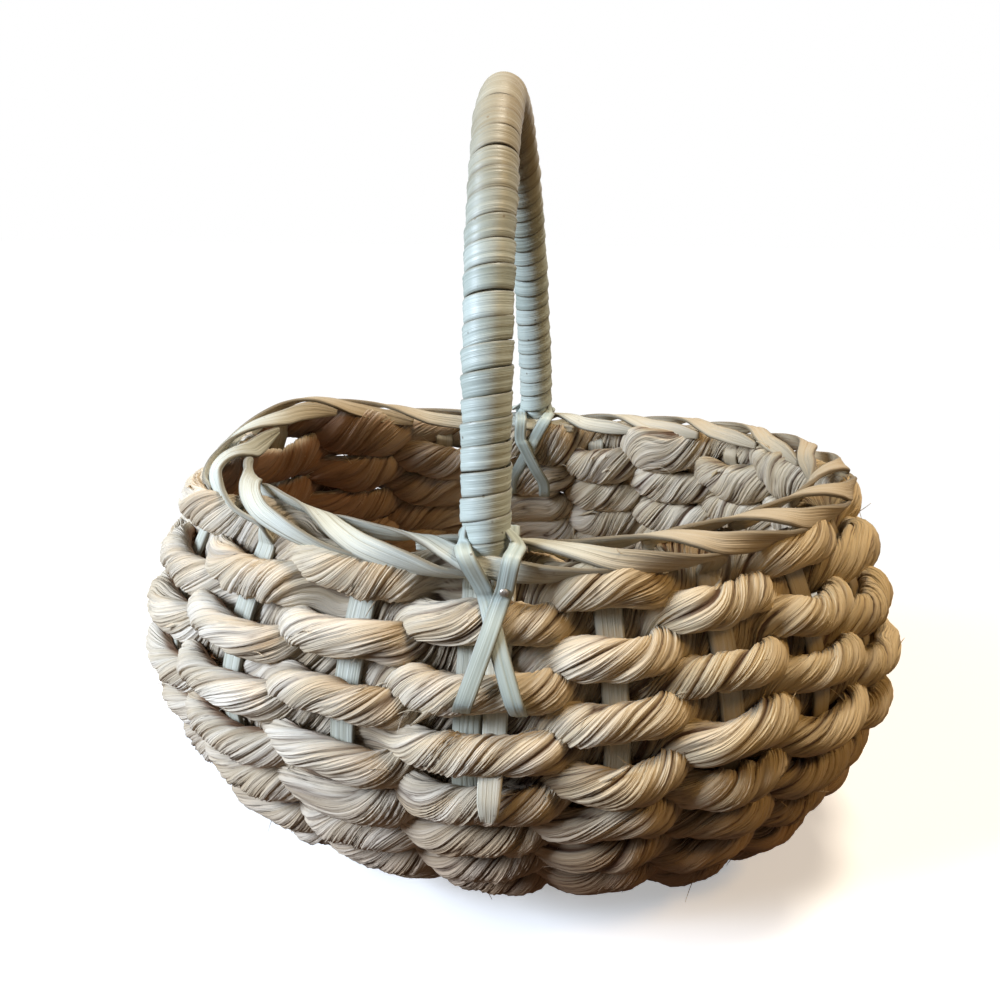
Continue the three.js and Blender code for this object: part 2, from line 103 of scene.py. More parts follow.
# The handle, its lashings and its nails.
HANDLE_TOP = 324.0
ROD_RADIUS = 6.6
HANDLE_LEAN = -6.0
HANDLE_SKEW = 4.0
LEG_LEAN = 14.0
WRAP_INNER = ROD_RADIUS + 0.9
WRAP_THICKNESS = 1.2
WRAP_OUTER = WRAP_INNER + WRAP_THICKNESS
WRAP_LIFT = 11.0
WRAP_START = 4.0
WRAP_TURNS = 46
LOW_TURN = 1.1
NECK = 9.0
ARCH_FOOT_DROP = 4.0
TAIL_WIDTH = 8.5
TAIL_ROWS = 8
TAIL_DROP = 3.7
TAIL_CENTRE = STAKE_WIDTH / 2 + CLEARANCE + TAIL_WIDTH / 2
LASH_WIDTH = 6.2
LASH_THICKNESS = 1.1
LASH_CLEARANCE = 1.0
LASH_INNER_CLEARANCE = 0.9
LASH_BOW = 0.6
LASH_FLAT = 3.1
LASH_TOP_SPREAD = 7.5
LASH_FOOT_SPREAD = 9.5
NAIL_ASIDE = 3.6
NAIL_DROP = 5.0

# The camera, found by laying the solids' outline over the photograph's.
PHOTO_PIXELS = 1000
FOCAL_PIXELS = 850.0
SENSOR_WIDTH = 36.0
CAMERA_PLACE = (23.8, -362.1, 276.1)
CAMERA_PITCH = 19.11
CAMERA_YAW = 4.95
CAMERA_ROLL = 0.33


def unit(v):
    """Vectors divided by their own length."""
    return v / np.linalg.norm(v, axis=-1, keepdims=True)


def smooth(low, high, x):
    """Cubic step from 0 at low to 1 at high."""
    t = np.clip((x - low) / (high - low), 0, 1)
    return t * t * (3 - 2 * t)


def wander(turns, waves, draw):
    """Smooth random curve that closes after one turn.

    It is a sum of sines of 1 to `waves` cycles, each with a random gain and phase.
    """
    cycles = np.arange(1, waves + 1)
    phase = draw.uniform(0, TAU, waves)
    gain = draw.normal(size=waves) / math.sqrt(waves / 2)
    return np.sin(TAU * np.multiply.outer(turns, cycles) + phase) @ gain


def patches(turns, rounds, along, across, waves, draw):
    """Smooth random field on a closed tube: plane waves with whole cycles along it and round it."""
    cycles_along = draw.integers(-along, along + 1, waves)
    cycles_across = draw.integers(1, across + 1, waves)
    phase = draw.uniform(0, TAU, waves)
    lengthwise = TAU * np.multiply.outer(turns, cycles_along)
    crosswise = TAU * np.multiply.outer(rounds, cycles_across) + phase
    field = np.sin(lengthwise) @ np.cos(crosswise).T + np.cos(lengthwise) @ np.sin(crosswise).T
    return field / math.sqrt(waves / 2)


def centripetal(points, steps, lead):
    """Centripetal Catmull-Rom curve through rows of values, `steps` places to a span.

    Each span is a cubic Hermite. Its end slopes come from the spans on both sides, weighted by the square
    roots of their lengths in the first `lead` columns, and the ends are mirrored.
    """
    p = np.vstack([2 * points[0] - points[1], points, 2 * points[-1] - points[-2]])
    gap = np.sqrt(np.linalg.norm(np.diff(p[:, :lead], axis=0), axis=1))[:, None, None]
    x0, x1, x2, x3 = (p[k:len(p) - 3 + k][:, None, :] for k in range(4))
    d0, d1, d2 = gap[:-2], gap[1:-1], gap[2:]
    m1 = ((x1 - x0) / d0 - (x2 - x0) / (d0 + d1) + (x2 - x1) / d1) * d1
    m2 = ((x2 - x1) / d1 - (x3 - x1) / (d1 + d2) + (x3 - x2) / d2) * d1
    t = np.linspace(0, 1, steps, endpoint=False)[None, :, None]
    curve = ((2 * t**3 - 3 * t**2 + 1) * x1 + (t**3 - 2 * t**2 + t) * m1
             + (3 * t**2 - 2 * t**3) * x2 + (t**3 - t**2) * m2)
    return np.vstack([curve.reshape(-1, points.shape[1]), points[-1:]])


def along_lengths(points):
    """Distance run along a row of points, from 0 at the first."""
    return np.concatenate([[0], np.cumsum(np.linalg.norm(np.diff(points, axis=0), axis=1))])


# The wall's curve from the rim to the floor: half length and height of the surface that the stakes lie on.
WALL_CURVE = centripetal(np.array([
    [RIM_MIDDLE, RIM_HEIGHT],
    [(RIM_HALF + BELLY_HALF) / 2 + SHOULDER_BULGE - WALL_HALF, (RIM_HEIGHT + BELLY_HEIGHT) / 2],
    [BELLY_HALF - WALL_HALF, BELLY_HEIGHT],
    [LOWER_HALF - WALL_HALF, LOWER_HEIGHT + WALL_HALF / 3],
    [HEEL_HALF, FLOOR_LEVEL + HEEL_RISE],
    [FOOT_HALF, FLOOR_LEVEL + FOOT_RISE],
    [FOOT_HALF - FOOT_STEP, FLOOR_LEVEL]]), 300, 2)
WALL_RUN = along_lengths(WALL_CURVE)
WALL_SLOPE = np.gradient(WALL_CURVE, WALL_RUN, axis=0)
WALL_LENGTH = WALL_RUN[-1]
PITCH = WALL_LENGTH / ROWS


def stake_angles():
    """Ellipse angles of the stake ends, from the near handle foot round to the right.

    Equal steps along the oval at the belly, shorter on the right of the handle than on its left. The two
    stakes at the handle stand a little aside, so that stake and handle tail together are centred.
    """
    a = BELLY_HALF - WALL_HALF
    b = a - LENGTH_OVER_WIDTH
    turn = np.linspace(0, math.pi, 8001)
    speed = np.hypot(a * np.cos(turn), b * np.sin(turn))
    run = np.concatenate([[0], np.cumsum((speed[1:] + speed[:-1]) / 2)])
    right = np.interp(np.arange(RIGHT_STAKES) / RIGHT_STAKES * run[-1], run, turn) - math.pi / 2
    left = np.interp(np.arange(LEFT_STAKES) / LEFT_STAKES * run[-1], run, turn) + math.pi / 2
    angle = np.concatenate([right, left])
    angle[[0, RIGHT_STAKES]] -= HANDLE_STAKE_SHIFT / RIM_MIDDLE
    return angle


STAKE_ANGLE = stake_angles()


def angle_at(index):
    """Ellipse angle at a stake index, which may lie between two stakes or beyond the turn."""
    turn = np.floor(index / STAKE_ENDS)
    closed = np.append(STAKE_ANGLE, STAKE_ANGLE[0] + TAU)
    return np.interp(index - turn * STAKE_ENDS, np.arange(STAKE_ENDS + 1), closed) + turn * TAU


def drift(height):
    """Drift of the rounds to +X: nothing at the belly, growing as the cube of the depth below it."""
    return FOOT_DRIFT * np.maximum(1 - height / BELLY_HEIGHT, 0) ** 3


def wall(angle, run):
    """Place on the middle surface of the wall: point, outward normal, downward and sideways tangents.

    The half length comes from the wall's curve and the half width is a constant less. The rim rises towards
    both ends by the saddle times one less sine to the fourth, and at its far left corner by a cosine of
    half the turn to a high power, both in proportion to the height squared. Below the belly the rounds
    drift to +X.
    """
    angle, run = np.broadcast_arrays(angle, run)
    half, height, slope, fall = (np.interp(run, WALL_RUN, c) for c in np.hstack([WALL_CURVE, WALL_SLOPE]).T)
    sine, cosine = np.sin(angle), np.cos(angle)
    share = (height / RIM_HEIGHT) ** 2
    half_turn = (angle - RIM_CORNER) / 2
    corner = np.cos(half_turn)
    saddle = RIM_SADDLE * (1 - sine**4) + RIM_CORNER_RISE * corner**RIM_CORNER_POWER
    climb = -4 * RIM_SADDLE * sine**3 * cosine
    climb -= RIM_CORNER_RISE * RIM_CORNER_POWER / 2 * corner**(RIM_CORNER_POWER - 1) * np.sin(half_turn)
    wide = half - LENGTH_OVER_WIDTH
    point = np.stack([half * cosine + drift(height), wide * sine, height + saddle * share], -1)
    side = unit(np.stack([-half * sine, wide * cosine, climb * share], -1))
    stretch = 1 + 2 * saddle * height / RIM_HEIGHT**2
    drifting = -3 * FOOT_DRIFT * np.maximum(1 - height / BELLY_HEIGHT, 0) ** 2 / BELLY_HEIGHT * fall
    down = unit(np.stack([slope * cosine + drifting, slope * sine, fall * stretch], -1))
    return point, unit(np.cross(down, side)), down, side


def rim(angle, outward, rise):
    """Place in the border, by its distance out from the rim's middle and its rise above the border's axis.

    Towards both ends of the basket the stakes lean in over the top rope, by a draw times the cosine
    squared.
    """
    point, _, _, side = wall(angle, np.zeros_like(angle))
    out = unit(np.stack([side[..., 1], -side[..., 0], np.zeros_like(side[..., 0])], -1))
    cosine = np.cos(angle)
    draw = cosine**2 * np.where(cosine > 0, BORDER_DRAW_RIGHT, BORDER_DRAW_LEFT)
    lean = np.clip((rise + BORDER_LIFT - BORDER_NECK) / (BORDER_LIFT - BORDER_NECK), 0, 1)
    return point + out * (outward - draw * lean)[..., None] + UP * (BORDER_LIFT + rise)[..., None], out, side


# Meshes.
def uv_grid(along, across):
    """UV pairs in metres, from millimetres along a piece and round it."""
    return np.stack(np.meshgrid(along * MM, across * MM, indexing="ij"), -1)


def piece(name, points, closed, uv, material, nodes, marks=None):
    """Mesh from a grid of points, rows along the piece and columns round it, with quads between neighbours.

    Columns always close. Rows close where `closed`; otherwise each end is capped by quads between the two
    halves of its ring. `uv` holds metres along and metres round, one row and one column more than the grid.
    """
    rows, cols = points.shape[:2]
    spans = rows if closed else rows - 1
    i = np.repeat(np.arange(spans), cols)
    j = np.tile(np.arange(cols), spans)
    i2, j2 = (i + 1) % rows, (j + 1) % cols
    faces = np.stack([i * cols + j, i * cols + j2, i2 * cols + j2, i2 * cols + j], 1)
    corners = np.stack([uv[i, j], uv[i, j + 1], uv[i + 1, j + 1], uv[i + 1, j]], 1)
    if not closed:
        k = np.arange(cols // 2 - 1)
        first = np.stack([k, cols - 1 - k, cols - 2 - k, k + 1], 1)
        last = np.stack([k, k + 1, cols - 2 - k, cols - 1 - k], 1) + (rows - 1) * cols
        faces = np.vstack([faces, first, last])
        ends = np.stack([uv[0, first % cols], uv[rows - 1, last % cols]]).reshape(-1, 4, 2)
        corners = np.vstack([corners, ends])
    return meshed(name, points, faces, corners, material, nodes, marks or {})


def meshed(name, points, faces, corners, material, nodes, marks):
    """Mesh of quads from millimetre points, with UV pairs at the corners and the marks' values at the points."""
    mesh = bpy.data.meshes.new(name)
    mesh.vertices.add(points.size // 3)
    mesh.vertices.foreach_set("co", (points * MM).astype(np.float32).ravel())
    mesh.loops.add(faces.size)
    mesh.loops.foreach_set("vertex_index", faces.astype(np.int32).ravel())
    mesh.polygons.add(len(faces))
    mesh.polygons.foreach_set("loop_start", np.arange(0, faces.size, 4, dtype=np.int32))
    mesh.update(calc_edges=True)
    mesh.shade_smooth()
    mesh.uv_layers.new(name="strand").data.foreach_set("uv", corners.astype(np.float32).ravel())
    for key, values in marks.items():
        held = mesh.attributes.new(key, "FLOAT", "POINT")
        held.data.foreach_set("value", values.astype(np.float32).ravel())
    return carried(bpy.data.objects.new(name, mesh), material, nodes)


def carried(made, material, nodes):
    """Links a piece, gives it its finish, and puts it on the basket's one body in place of its solids."""
    bpy.context.collection.objects.link(made)
    made.data.materials.append(material)
    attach(made, "root")
    if nodes:
        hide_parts(*nodes)
    return made


# Steps of a material.
def linear(code):
    """Linear RGBA of an sRGB hex colour."""
    value = np.array([int(code[k:k + 2], 16) for k in (1, 3, 5)]) / 255
    value = np.where(value <= 0.04045, value / 12.92, ((value + 0.055) / 1.055) ** 2.4)
    return (*value.tolist(), 1.0)


def node(tree, kind, inputs, stops=(), **settings):
    """Adds one node with its settings. Each input takes a value or a link, and a ramp takes its stops."""
    made = tree.nodes.new("ShaderNode" + kind)
    for key, value in settings.items():
        setattr(made, key, value)
    for k, (place, colour) in enumerate(stops):
        element = made.color_ramp.elements[k] if k < 2 else made.color_ramp.elements.new(place)
        element.position = place
        element.color = linear(colour)
    for key, value in inputs.items():
        if isinstance(value, bpy.types.NodeSocket):
            tree.links.new(value, made.inputs[key])
        else:
            made.inputs[key].default_value = value
    return made.outputs


def here(tree):
    """Place on the basket in metres."""
    return node(tree, "TexCoord", {})["Object"]


def mark(tree, name):
    """Value that a mesh holds for each point under a name."""
    return node(tree, "Attribute", {}, attribute_name=name)["Fac"]


def fibres(tree, along, across):
    """Place on a strand, counted in fibre lengths along it and in fibre widths across it."""
    strand = node(tree, "UVMap", {}, uv_map="strand")["UV"]
    return node(tree, "Mapping", {"Vector": strand, "Scale": (1 / along, 1 / across, 1)})["Vector"]


def noise(tree, place, detail, size=1.0, roughness=0.5):
    """Smooth noise round 0.5, with features of a size."""
    values = {"Vector": place, "Scale": 1 / size, "Detail": detail, "Roughness": roughness}
    return node(tree, "TexNoise", values)["Fac"]


def spread(tree, value, low, high, start=0.0, stop=1.0):
    """Value mapped from the range low to high on to start to stop, and held within it."""
    values = {"Value": value, "From Min": low, "From Max": high, "To Min": start, "To Max": stop}
    return node(tree, "MapRange", values)["Result"]


def maths(tree, operation, *values):
    """One step of arithmetic on values and links."""
    return node(tree, "Math", dict(enumerate(values)), operation=operation)["Value"]


def tinted(tree, share, base, tint):
    """Colour mixed from a base towards a tint by a share."""
    return node(tree, "Mix", {0: share, 6: base, 7: tint}, data_type="RGBA")[2]


def finish(name, **constants):
    """New material with its surface shader's fixed values set on the shader's own sockets."""
    made = bpy.data.materials.new(name)
    made.use_nodes = True
    shader = made.node_tree.nodes["Principled BSDF"]
    for key, value in constants.items():
        shader.inputs[key.replace("_", " ")].default_value = value
    return made, made.node_tree, shader


def linked(made, tree, shader, colour, roughness, height, strength, distance):
    """Links colour, roughness and a relief of some strength and depth to the surface shader."""
    bump = node(tree, "Bump", {"Height": height, "Strength": strength, "Distance": distance})["Normal"]
    tree.links.new(colour, shader.inputs["Base Color"])
    tree.links.new(roughness, shader.inputs["Roughness"])
    tree.links.new(bump, shader.inputs["Normal"])
    return made


# Materials. The ranges say where along X or Z a shift in the leaf's colour sets in and where it is full: the
# fading of blotches and painted crease shade towards -X, the amber towards +X, and the painted shade inside
# the basket and on the low rounds.
BLOTCH_AND_SHADE_X = (-0.13, 0.0)
AMBER_X = (-0.06, 0.11)
INSIDE_SHADE_X = (-0.02, -0.1)
LOW_SHADE_Z = (0.1, 0.03)
LOW_SHADE_X = (-0.09, 0.04)


def twisted_dried_leaf():
    """Sun-dried leaf, folded lengthwise and twisted into rope.

    It is matte straw, streaked along its fibres every millimetre or so, and darker with painted shade in the
    creases and in the recesses of the weave. It is paler towards -X and more amber towards +X. Its amber
    blotches and the painted crease shade are fainter towards -X. Painted shade makes the inside at -X and the
    low rounds, most of all at +X, browner still.
    """
    made, tree, shader = finish(
        "twisted_dried_leaf", Specular_IOR_Level=0.22, Sheen_Weight=0.06, Sheen_Roughness=0.5)
    place = here(tree)
    spot = node(tree, "SeparateXYZ", {"Vector": place})
    inside = mark(tree, "inside")
    streak = noise(tree, fibres(tree, 0.040, 0.0012), 3.0, roughness=0.6)
    hair = noise(tree, fibres(tree, 0.014, 0.00045), 2.0)
    blotch = noise(tree, place, 3.0, size=0.045)
    mixed = maths(tree, "MULTIPLY_ADD", streak, 0.55, mark(tree, "tone"))
    shade = node(tree, "ValToRGB", {"Fac": mixed}, stops=[
        (0.10, "#86694d"), (0.95, "#e6decf"), (0.34, "#b19d82"), (0.56, "#cabca4"),
        (0.76, "#d9cebb")])["Color"]
    # Share that fades the amber blotches and the painted crease shade towards -X.
    blotch_and_shade_share = spread(tree, spot["X"], *BLOTCH_AND_SHADE_X, 0.22, 0.94)
    gold = maths(tree, "MULTIPLY", spread(tree, blotch, 0.45, 0.75, 0.0, 0.4), blotch_and_shade_share)
    # More amber towards +X, less on the faces turned into the basket.
    outer = maths(tree, "MULTIPLY_ADD", inside, -0.6, 1.0)
    amber_towards_x = maths(tree, "MULTIPLY", spread(tree, spot["X"], *AMBER_X, 0.0, 0.62), outer)
    amber = maths(tree, "MAXIMUM", gold, amber_towards_x)
    warm = tinted(tree, amber, shade, linear("#c8b180"))
    # Painted shade: browner inside the basket towards -X and on the low rounds, most of all at +X.
    inside_painted_shade = maths(tree, "MULTIPLY", inside, spread(tree, spot["X"], *INSIDE_SHADE_X, 0.0, 0.8))
    low = spread(tree, spot["Z"], *LOW_SHADE_Z, 0.0, 0.68)
    under = maths(tree, "MULTIPLY", low, spread(tree, spot["X"], *LOW_SHADE_X, 0.3, 1.0))
    brown = maths(tree, "MAXIMUM", inside_painted_shade, under)
    shade_browned = tinted(tree, brown, warm, linear("#83532f"))
    # Painted shade in the creases, the pleats and the recesses of the weave.
    deep = maths(tree, "POWER", mark(tree, "crease"), 1.3)
    crease_and_recess_shade = maths(tree, "MULTIPLY", deep, blotch_and_shade_share)
    colour = tinted(tree, crease_and_recess_shade, shade_browned, linear("#4a2d19"))
    rough = spread(tree, streak, 0.3, 0.7, 0.84, 0.66)
    raised = maths(tree, "MULTIPLY_ADD", streak, 2.2, hair)
    return linked(made, tree, shader, colour, rough, raised, 0.85, 0.0006)


def cane(name, pale, middle, dark, gloss, line, fleck):
    """Cane strip with straight fibres in tones from dark to pale.

    Thin dark lines run between bundles of fibres, the edges are darker with painted shade and there are a few
    dark flecks.
    `gloss` is the roughness of the smoothest fibres, and `line` and `fleck` say how dark lines and flecks
    are. The mark `amber` says how far a place is tinted amber; on the stakes that tint is painted shade.
    """
    made, tree, shader = finish(name, Specular_IOR_Level=0.5)
    place = here(tree)
    streak = noise(tree, fibres(tree, 0.060, 0.0013), 4.0, roughness=0.55)
    split = noise(tree, fibres(tree, 0.090, 0.0007), 2.0)
    cloud = noise(tree, place, 2.0, size=0.028)
    spots = node(tree, "TexVoronoi", {"Vector": place, "Scale": 1 / 0.0065})["Distance"]
    half = maths(tree, "MULTIPLY_ADD", cloud, 0.35, mark(tree, "tone"))
    mixed = maths(tree, "MULTIPLY_ADD", streak, 0.95, half)
    tones = [(0.3, dark), (0.98, pale), (0.64, middle)]
    shade = node(tree, "ValToRGB", {"Fac": mixed}, stops=tones)["Color"]
    lined = tinted(tree, spread(tree, split, 0.42, 0.32, 0.0, line), shade, linear(dark))
    spotted = tinted(tree, spread(tree, spots, 0.10, 0.05, 0.0, fleck), lined, linear("#4d4030"))
    # Amber tint; on the stakes it is painted shade.
    amber_and_shade = tinted(tree, mark(tree, "amber"), spotted, linear("#a8906a"))
    # Painted shade along the strip's edges.
    edge_shade = maths(tree, "MULTIPLY", mark(tree, "edge"), 0.8)
    colour = tinted(tree, edge_shade, amber_and_shade, linear("#54472f"))
    rough = spread(tree, streak, 0.3, 0.7, gloss + 0.24, gloss)
    raised = maths(tree, "MULTIPLY_ADD", streak, 1.5, split)
    return linked(made, tree, shader, colour, rough, raised, line + 0.1, 0.0004)


def dull_steel():
    """Drawn steel brad: grey metal dulled by handling, with rust freckles half a millimetre across."""
    made, tree, shader = finish("dull_steel", Metallic=0.9)
    rust = noise(tree, here(tree), 2.0, size=0.0006)
    share = spread(tree, rust, 0.5, 0.66, 0.0, 0.7)
    colour = tinted(tree, share, linear("#a09c95"), linear("#6b5340"))
    rough = spread(tree, rust, 0.0, 1.0, 0.32, 0.62)
    return linked(made, tree, shader, colour, rough, rust, 0.3, 0.0001)


LEAF = twisted_dried_leaf()
STAKE = cane("split_cane_stake", "#cbcec3", "#b6b7a8", "#827c67", 0.5, 0.7, 0.3)
STRIP = cane("peeled_cane_strip", "#bac5be", "#9da9a1", "#757c70", 0.34, 0.35, 0.75)
ROD = cane("peeled_rod", "#dcd9cb", "#c4bea9", "#948a6e", 0.42, 0.5, 0.3)
STEEL = dull_steel()

# Ropes: sizes, the swell and rise of the top rounds, and how far the path strays.
ROPE_COLUMNS = 112
ROPE_STEP = 2.3
ROPE_SEED = 100
ROPE_TAKE_UP = 1.06
ROPE_DEEP = 5.7
ROPE_TALL_OUTSIDE = 7.0
ROPE_TALL_INSIDE = 10.8
ROPE_TALL_BETWEEN = 8.0
ROPE_UNEVEN = 0.05
ROPE_SWAY = 0.8
ROPE_STRAY = 0.35
ROPE_LOWEST = 0.15
TOP_SWELL = 0.14
FAR_SWELL = 0.24
TOP_RISE = 5.6
TOP_RISE_INSIDE = 8.4
TAIL_WAIT = 0.22
WEAVE_FLATNESS = 1.5

# Leaves wound round a rope: their lay, their relief, their tones and their painted crease and recess shade.
LAY_LENGTH = 46.0
LAY_STRAY = 0.7
LEAVES = 6
LEAF_STRAY = 0.30
PLEATS = 4
PLEAT_STRAY = 0.45
BACK_POWER = 0.35
CREASE_DEPTH = 1.5
PLEAT_DEPTH = 0.75
PLEAT_POWER = 1.3
LEAF_TILT = 0.5
GRAIN_DEPTH = 0.09
LUMP_DEPTH = 0.30
RELIEF_RISE = 0.25
LEAF_TONE = 0.42
LEAF_TONE_RANGE = 0.12
PLEAT_TONE_RANGE = 0.07
PATCH_TONE = 0.07
RUN_TONE = 0.06
CREASE_SHADE = 1.5
PLEAT_SHADE = 0.85
PLEAT_SHADE_POWER = 6
RECESS_SHADE = 0.5

# Loose fibres: leaf tips and hairs. Rise and sag are shares of the length.
FRAY_SEED = 90
FRAY_COUNT = 44
FRAY_STATIONS = 7
FRAY_THICKNESS = 0.2
FRAY_ROOT = 0.5
FRAY_LIFT = 0.9
FRAY_TAPER = 0.85
FRAY_LOWEST = 0.4
FRAY_SAG = (-0.1, 0.35)
TIP_SHARE = 0.22
TIP_LENGTH = (6, 15)
TIP_RISE = (0.0, 0.14)
TIP_WIDTH = (1.2, 2.6)
HAIR_LENGTH = (4, 13)
HAIR_RISE = (0.0, 0.2)
HAIR_WIDTH = (0.25, 0.6)
frays = []


def weave(index, row):
    """Swing of a rope from 1 outside a stake to -1 inside: a cosine over two stakes, flattened by a tanh.

    Beside each handle stake the swing waits for the width of the handle's tail, so that the rope clears
    both.
    """
    wait = TAIL_WAIT if row < TAIL_ROWS else 0.0
    past = np.where(index >= RIGHT_STAKES, index - RIGHT_STAKES, index)
    late = np.where(past < 1, np.maximum(past - wait, 0) / (1 - wait), past)
    wave = np.cos(math.pi * (index - past + late + row))
    return -np.tanh(WEAVE_FLATNESS * wave) / math.tanh(WEAVE_FLATNESS)


def rope(row):
    """One round of rope: an ellipse carried along the woven path, with pleated leaves wound round it.

    The path is the wall's ring at this row, moved out and in by the weave. The top rounds are pushed up
    against the border, most where they pass inside a stake. Grid columns follow the lay of the leaves: the
    section angle is the column's angle less a turn for every lay length. The relief is a set of leaf backs,
    each a sine to a low power so that the creases are narrow, with sharp pleats on them, all of them
    wandering along the rope.
    """
    draw = np.random.default_rng(ROPE_SEED + row)
    ring = np.linspace(0, STAKE_ENDS, 1001)
    run = (row + 0.5) * PITCH
    length = along_lengths(wall(angle_at(ring), np.full_like(ring, run))[0])[-1] * ROPE_TAKE_UP
    steps = int(length / ROPE_STEP)
    turns = np.arange(steps) / steps
    index = turns * STAKE_ENDS
    swing = weave(index, row)
    far = np.maximum(np.sin(angle_at(index)), 0)
    rise = math.exp(-row / 2) * (TOP_RISE + (TOP_RISE_INSIDE - TOP_RISE) * (1 - swing) / 2)
    sway = ROPE_SWAY * wander(turns, 24, draw) - rise
    point, out, down, _ = wall(angle_at(index), run + sway)
    path = point + out * (ROPE_OFFSET * swing + ROPE_STRAY * wander(turns, 30, draw))[:, None]
    path[:, 2] += np.maximum(-run - sway, 0)
    tangent = unit(np.roll(path, -1, 0) - np.roll(path, 1, 0))
    down = unit(down - tangent * (down * tangent).sum(1, keepdims=True))
    out = np.cross(down, tangent)

    columns = np.arange(ROPE_COLUMNS) / ROPE_COLUMNS
    lay = TAU * round(length / LAY_LENGTH) * turns + LAY_STRAY * wander(turns, 18, draw)
    section = TAU * columns[None, :] - lay[:, None]
    place = LEAVES * columns[None, :] + LEAF_STRAY * patches(turns, columns, 9, 3, 16, draw)
    leaf = np.floor(place)
    across = place - leaf
    back = np.sin(math.pi * across) ** BACK_POWER
    phase = PLEATS * place + PLEAT_STRAY * patches(turns, columns, 14, 5, 18, draw)
    pleat = np.abs(2 * (phase - np.floor(phase)) - 1)
    strong = np.clip(0.65 + 0.5 * patches(turns, columns, 18, 6, 24, draw), 0.1, 1.4)
    depth = np.clip(0.62 + 0.45 * patches(turns, columns, 22, 4, 24, draw), 0.1, 1.5)
    tilt = np.clip(0.5 + patches(turns, columns, 14, 3, 16, draw), 0, 1.6)
    lift = LEAF_TILT * (across - 0.5) * tilt
    grain = GRAIN_DEPTH * patches(turns, columns, 30, 40, 48, draw)
    lump = LUMP_DEPTH * patches(turns, columns, 40, 3, 24, draw)
    relief = CREASE_DEPTH * depth * (back - 1) - PLEAT_DEPTH * strong * pleat**PLEAT_POWER
    relief = relief + lift + grain + lump + RELIEF_RISE

    size = 1 + ROPE_UNEVEN * wander(turns, 26, draw)
    deep = ROPE_DEEP * size
    size = size + (TOP_SWELL + FAR_SWELL * far) * math.exp(-row)
    tall = np.interp(swing, [-1, 0, 1], [ROPE_TALL_INSIDE, ROPE_TALL_BETWEEN, ROPE_TALL_OUTSIDE]) * size
    points = (path[:, None, :]
              + out[:, None, :] * ((deep[:, None] + relief) * np.cos(section))[..., None]
              + down[:, None, :] * ((tall[:, None] + relief) * np.sin(section))[..., None])
    points[..., 2] = np.maximum(points[..., 2], ROPE_LOWEST)

    leaf_tone = draw.uniform(-LEAF_TONE_RANGE, LEAF_TONE_RANGE, LEAVES)
    pleat_tone = draw.uniform(-PLEAT_TONE_RANGE, PLEAT_TONE_RANGE, LEAVES * PLEATS)
    tone = LEAF_TONE + leaf_tone[np.mod(leaf, LEAVES).astype(int)]
    tone = tone + pleat_tone[np.mod(np.floor(phase), LEAVES * PLEATS).astype(int)]
    tone = tone + PATCH_TONE * patches(turns, columns, 25, 4, 20, draw)
    tone = tone + RUN_TONE * wander(turns, 12, draw)[:, None]
    inside = smooth(0.0, 0.5, -np.cos(section))
    # Painted shade: the recess where a rope passes inside a stake, and the leaves' creases and pleats.
    recess = (1 - smooth(-0.9, 0.3, swing))[:, None] * (1 - inside)
    crease = (1 - back) * CREASE_SHADE * depth + PLEAT_SHADE * strong * pleat**PLEAT_SHADE_POWER
    crease = np.clip(crease + RECESS_SHADE * recess, 0, 1)
    girth = TAU * (ROPE_DEEP + ROPE_TALL_OUTSIDE) / 2
    uv = uv_grid(np.arange(steps + 1) / steps * length, np.arange(ROPE_COLUMNS + 1) / ROPE_COLUMNS * girth)
    uv[..., 0] += row
    piece(f"rope_round_{row + 1:02d}", points, True, uv, LEAF, [f"weaver_{row + 1:02d}"],
          {"tone": tone, "crease": crease, "inside": inside})
    loosen(points, path, draw)


def loosen(points, path, draw):
    """Loose fibres and leaf tips of one rope, which start on its surface, follow the lay, rise and droop.

    A fibre's place at the share s of its length is root + along * length * s + normal * (rise + lift) * s^2
    - up * sag * s^3, held above the ground. Most are hairs; a few are leaf tips a few millimetres wide.
    """
    i = draw.integers(1, len(points) - 1, FRAY_COUNT)
    j = draw.integers(0, points.shape[1], FRAY_COUNT)
    start = points[i, j]
    along = unit(points[i + 1, j] - points[i - 1, j]) * draw.choice([-1.0, 1.0], FRAY_COUNT)[:, None]
    normal = unit(start - path[i])
    wide = draw.random(FRAY_COUNT) < TIP_SHARE

    def drawn(tip, hair):
        return np.where(wide, draw.uniform(*tip, FRAY_COUNT), draw.uniform(*hair, FRAY_COUNT))

    length = drawn(TIP_LENGTH, HAIR_LENGTH)
    rise = length * drawn(TIP_RISE, HAIR_RISE)
    sag = length * draw.uniform(*FRAY_SAG, FRAY_COUNT)
    width = drawn(TIP_WIDTH, HAIR_WIDTH)
    s = np.linspace(0, 1, FRAY_STATIONS)[None, :, None]
    curve = (start - normal * FRAY_ROOT)[:, None] + along[:, None] * length[:, None, None] * s
    curve = curve + normal[:, None] * (rise[:, None, None] + FRAY_LIFT) * s**2
    curve[..., 2] = np.maximum(curve[..., 2] - sag[:, None] * s[..., 0] ** 3, FRAY_LOWEST)
    narrowed = width[:, None] * (1 - FRAY_TAPER * s[..., 0] ** 2) / 2
    half = unit(np.cross(along, normal))[:, None] * narrowed[..., None]
    lift = normal[:, None] * FRAY_THICKNESS / 2
    corners = [curve + half + lift, curve - half + lift, curve - half - lift, curve + half - lift]
    frays.append(np.stack(corners, 2))


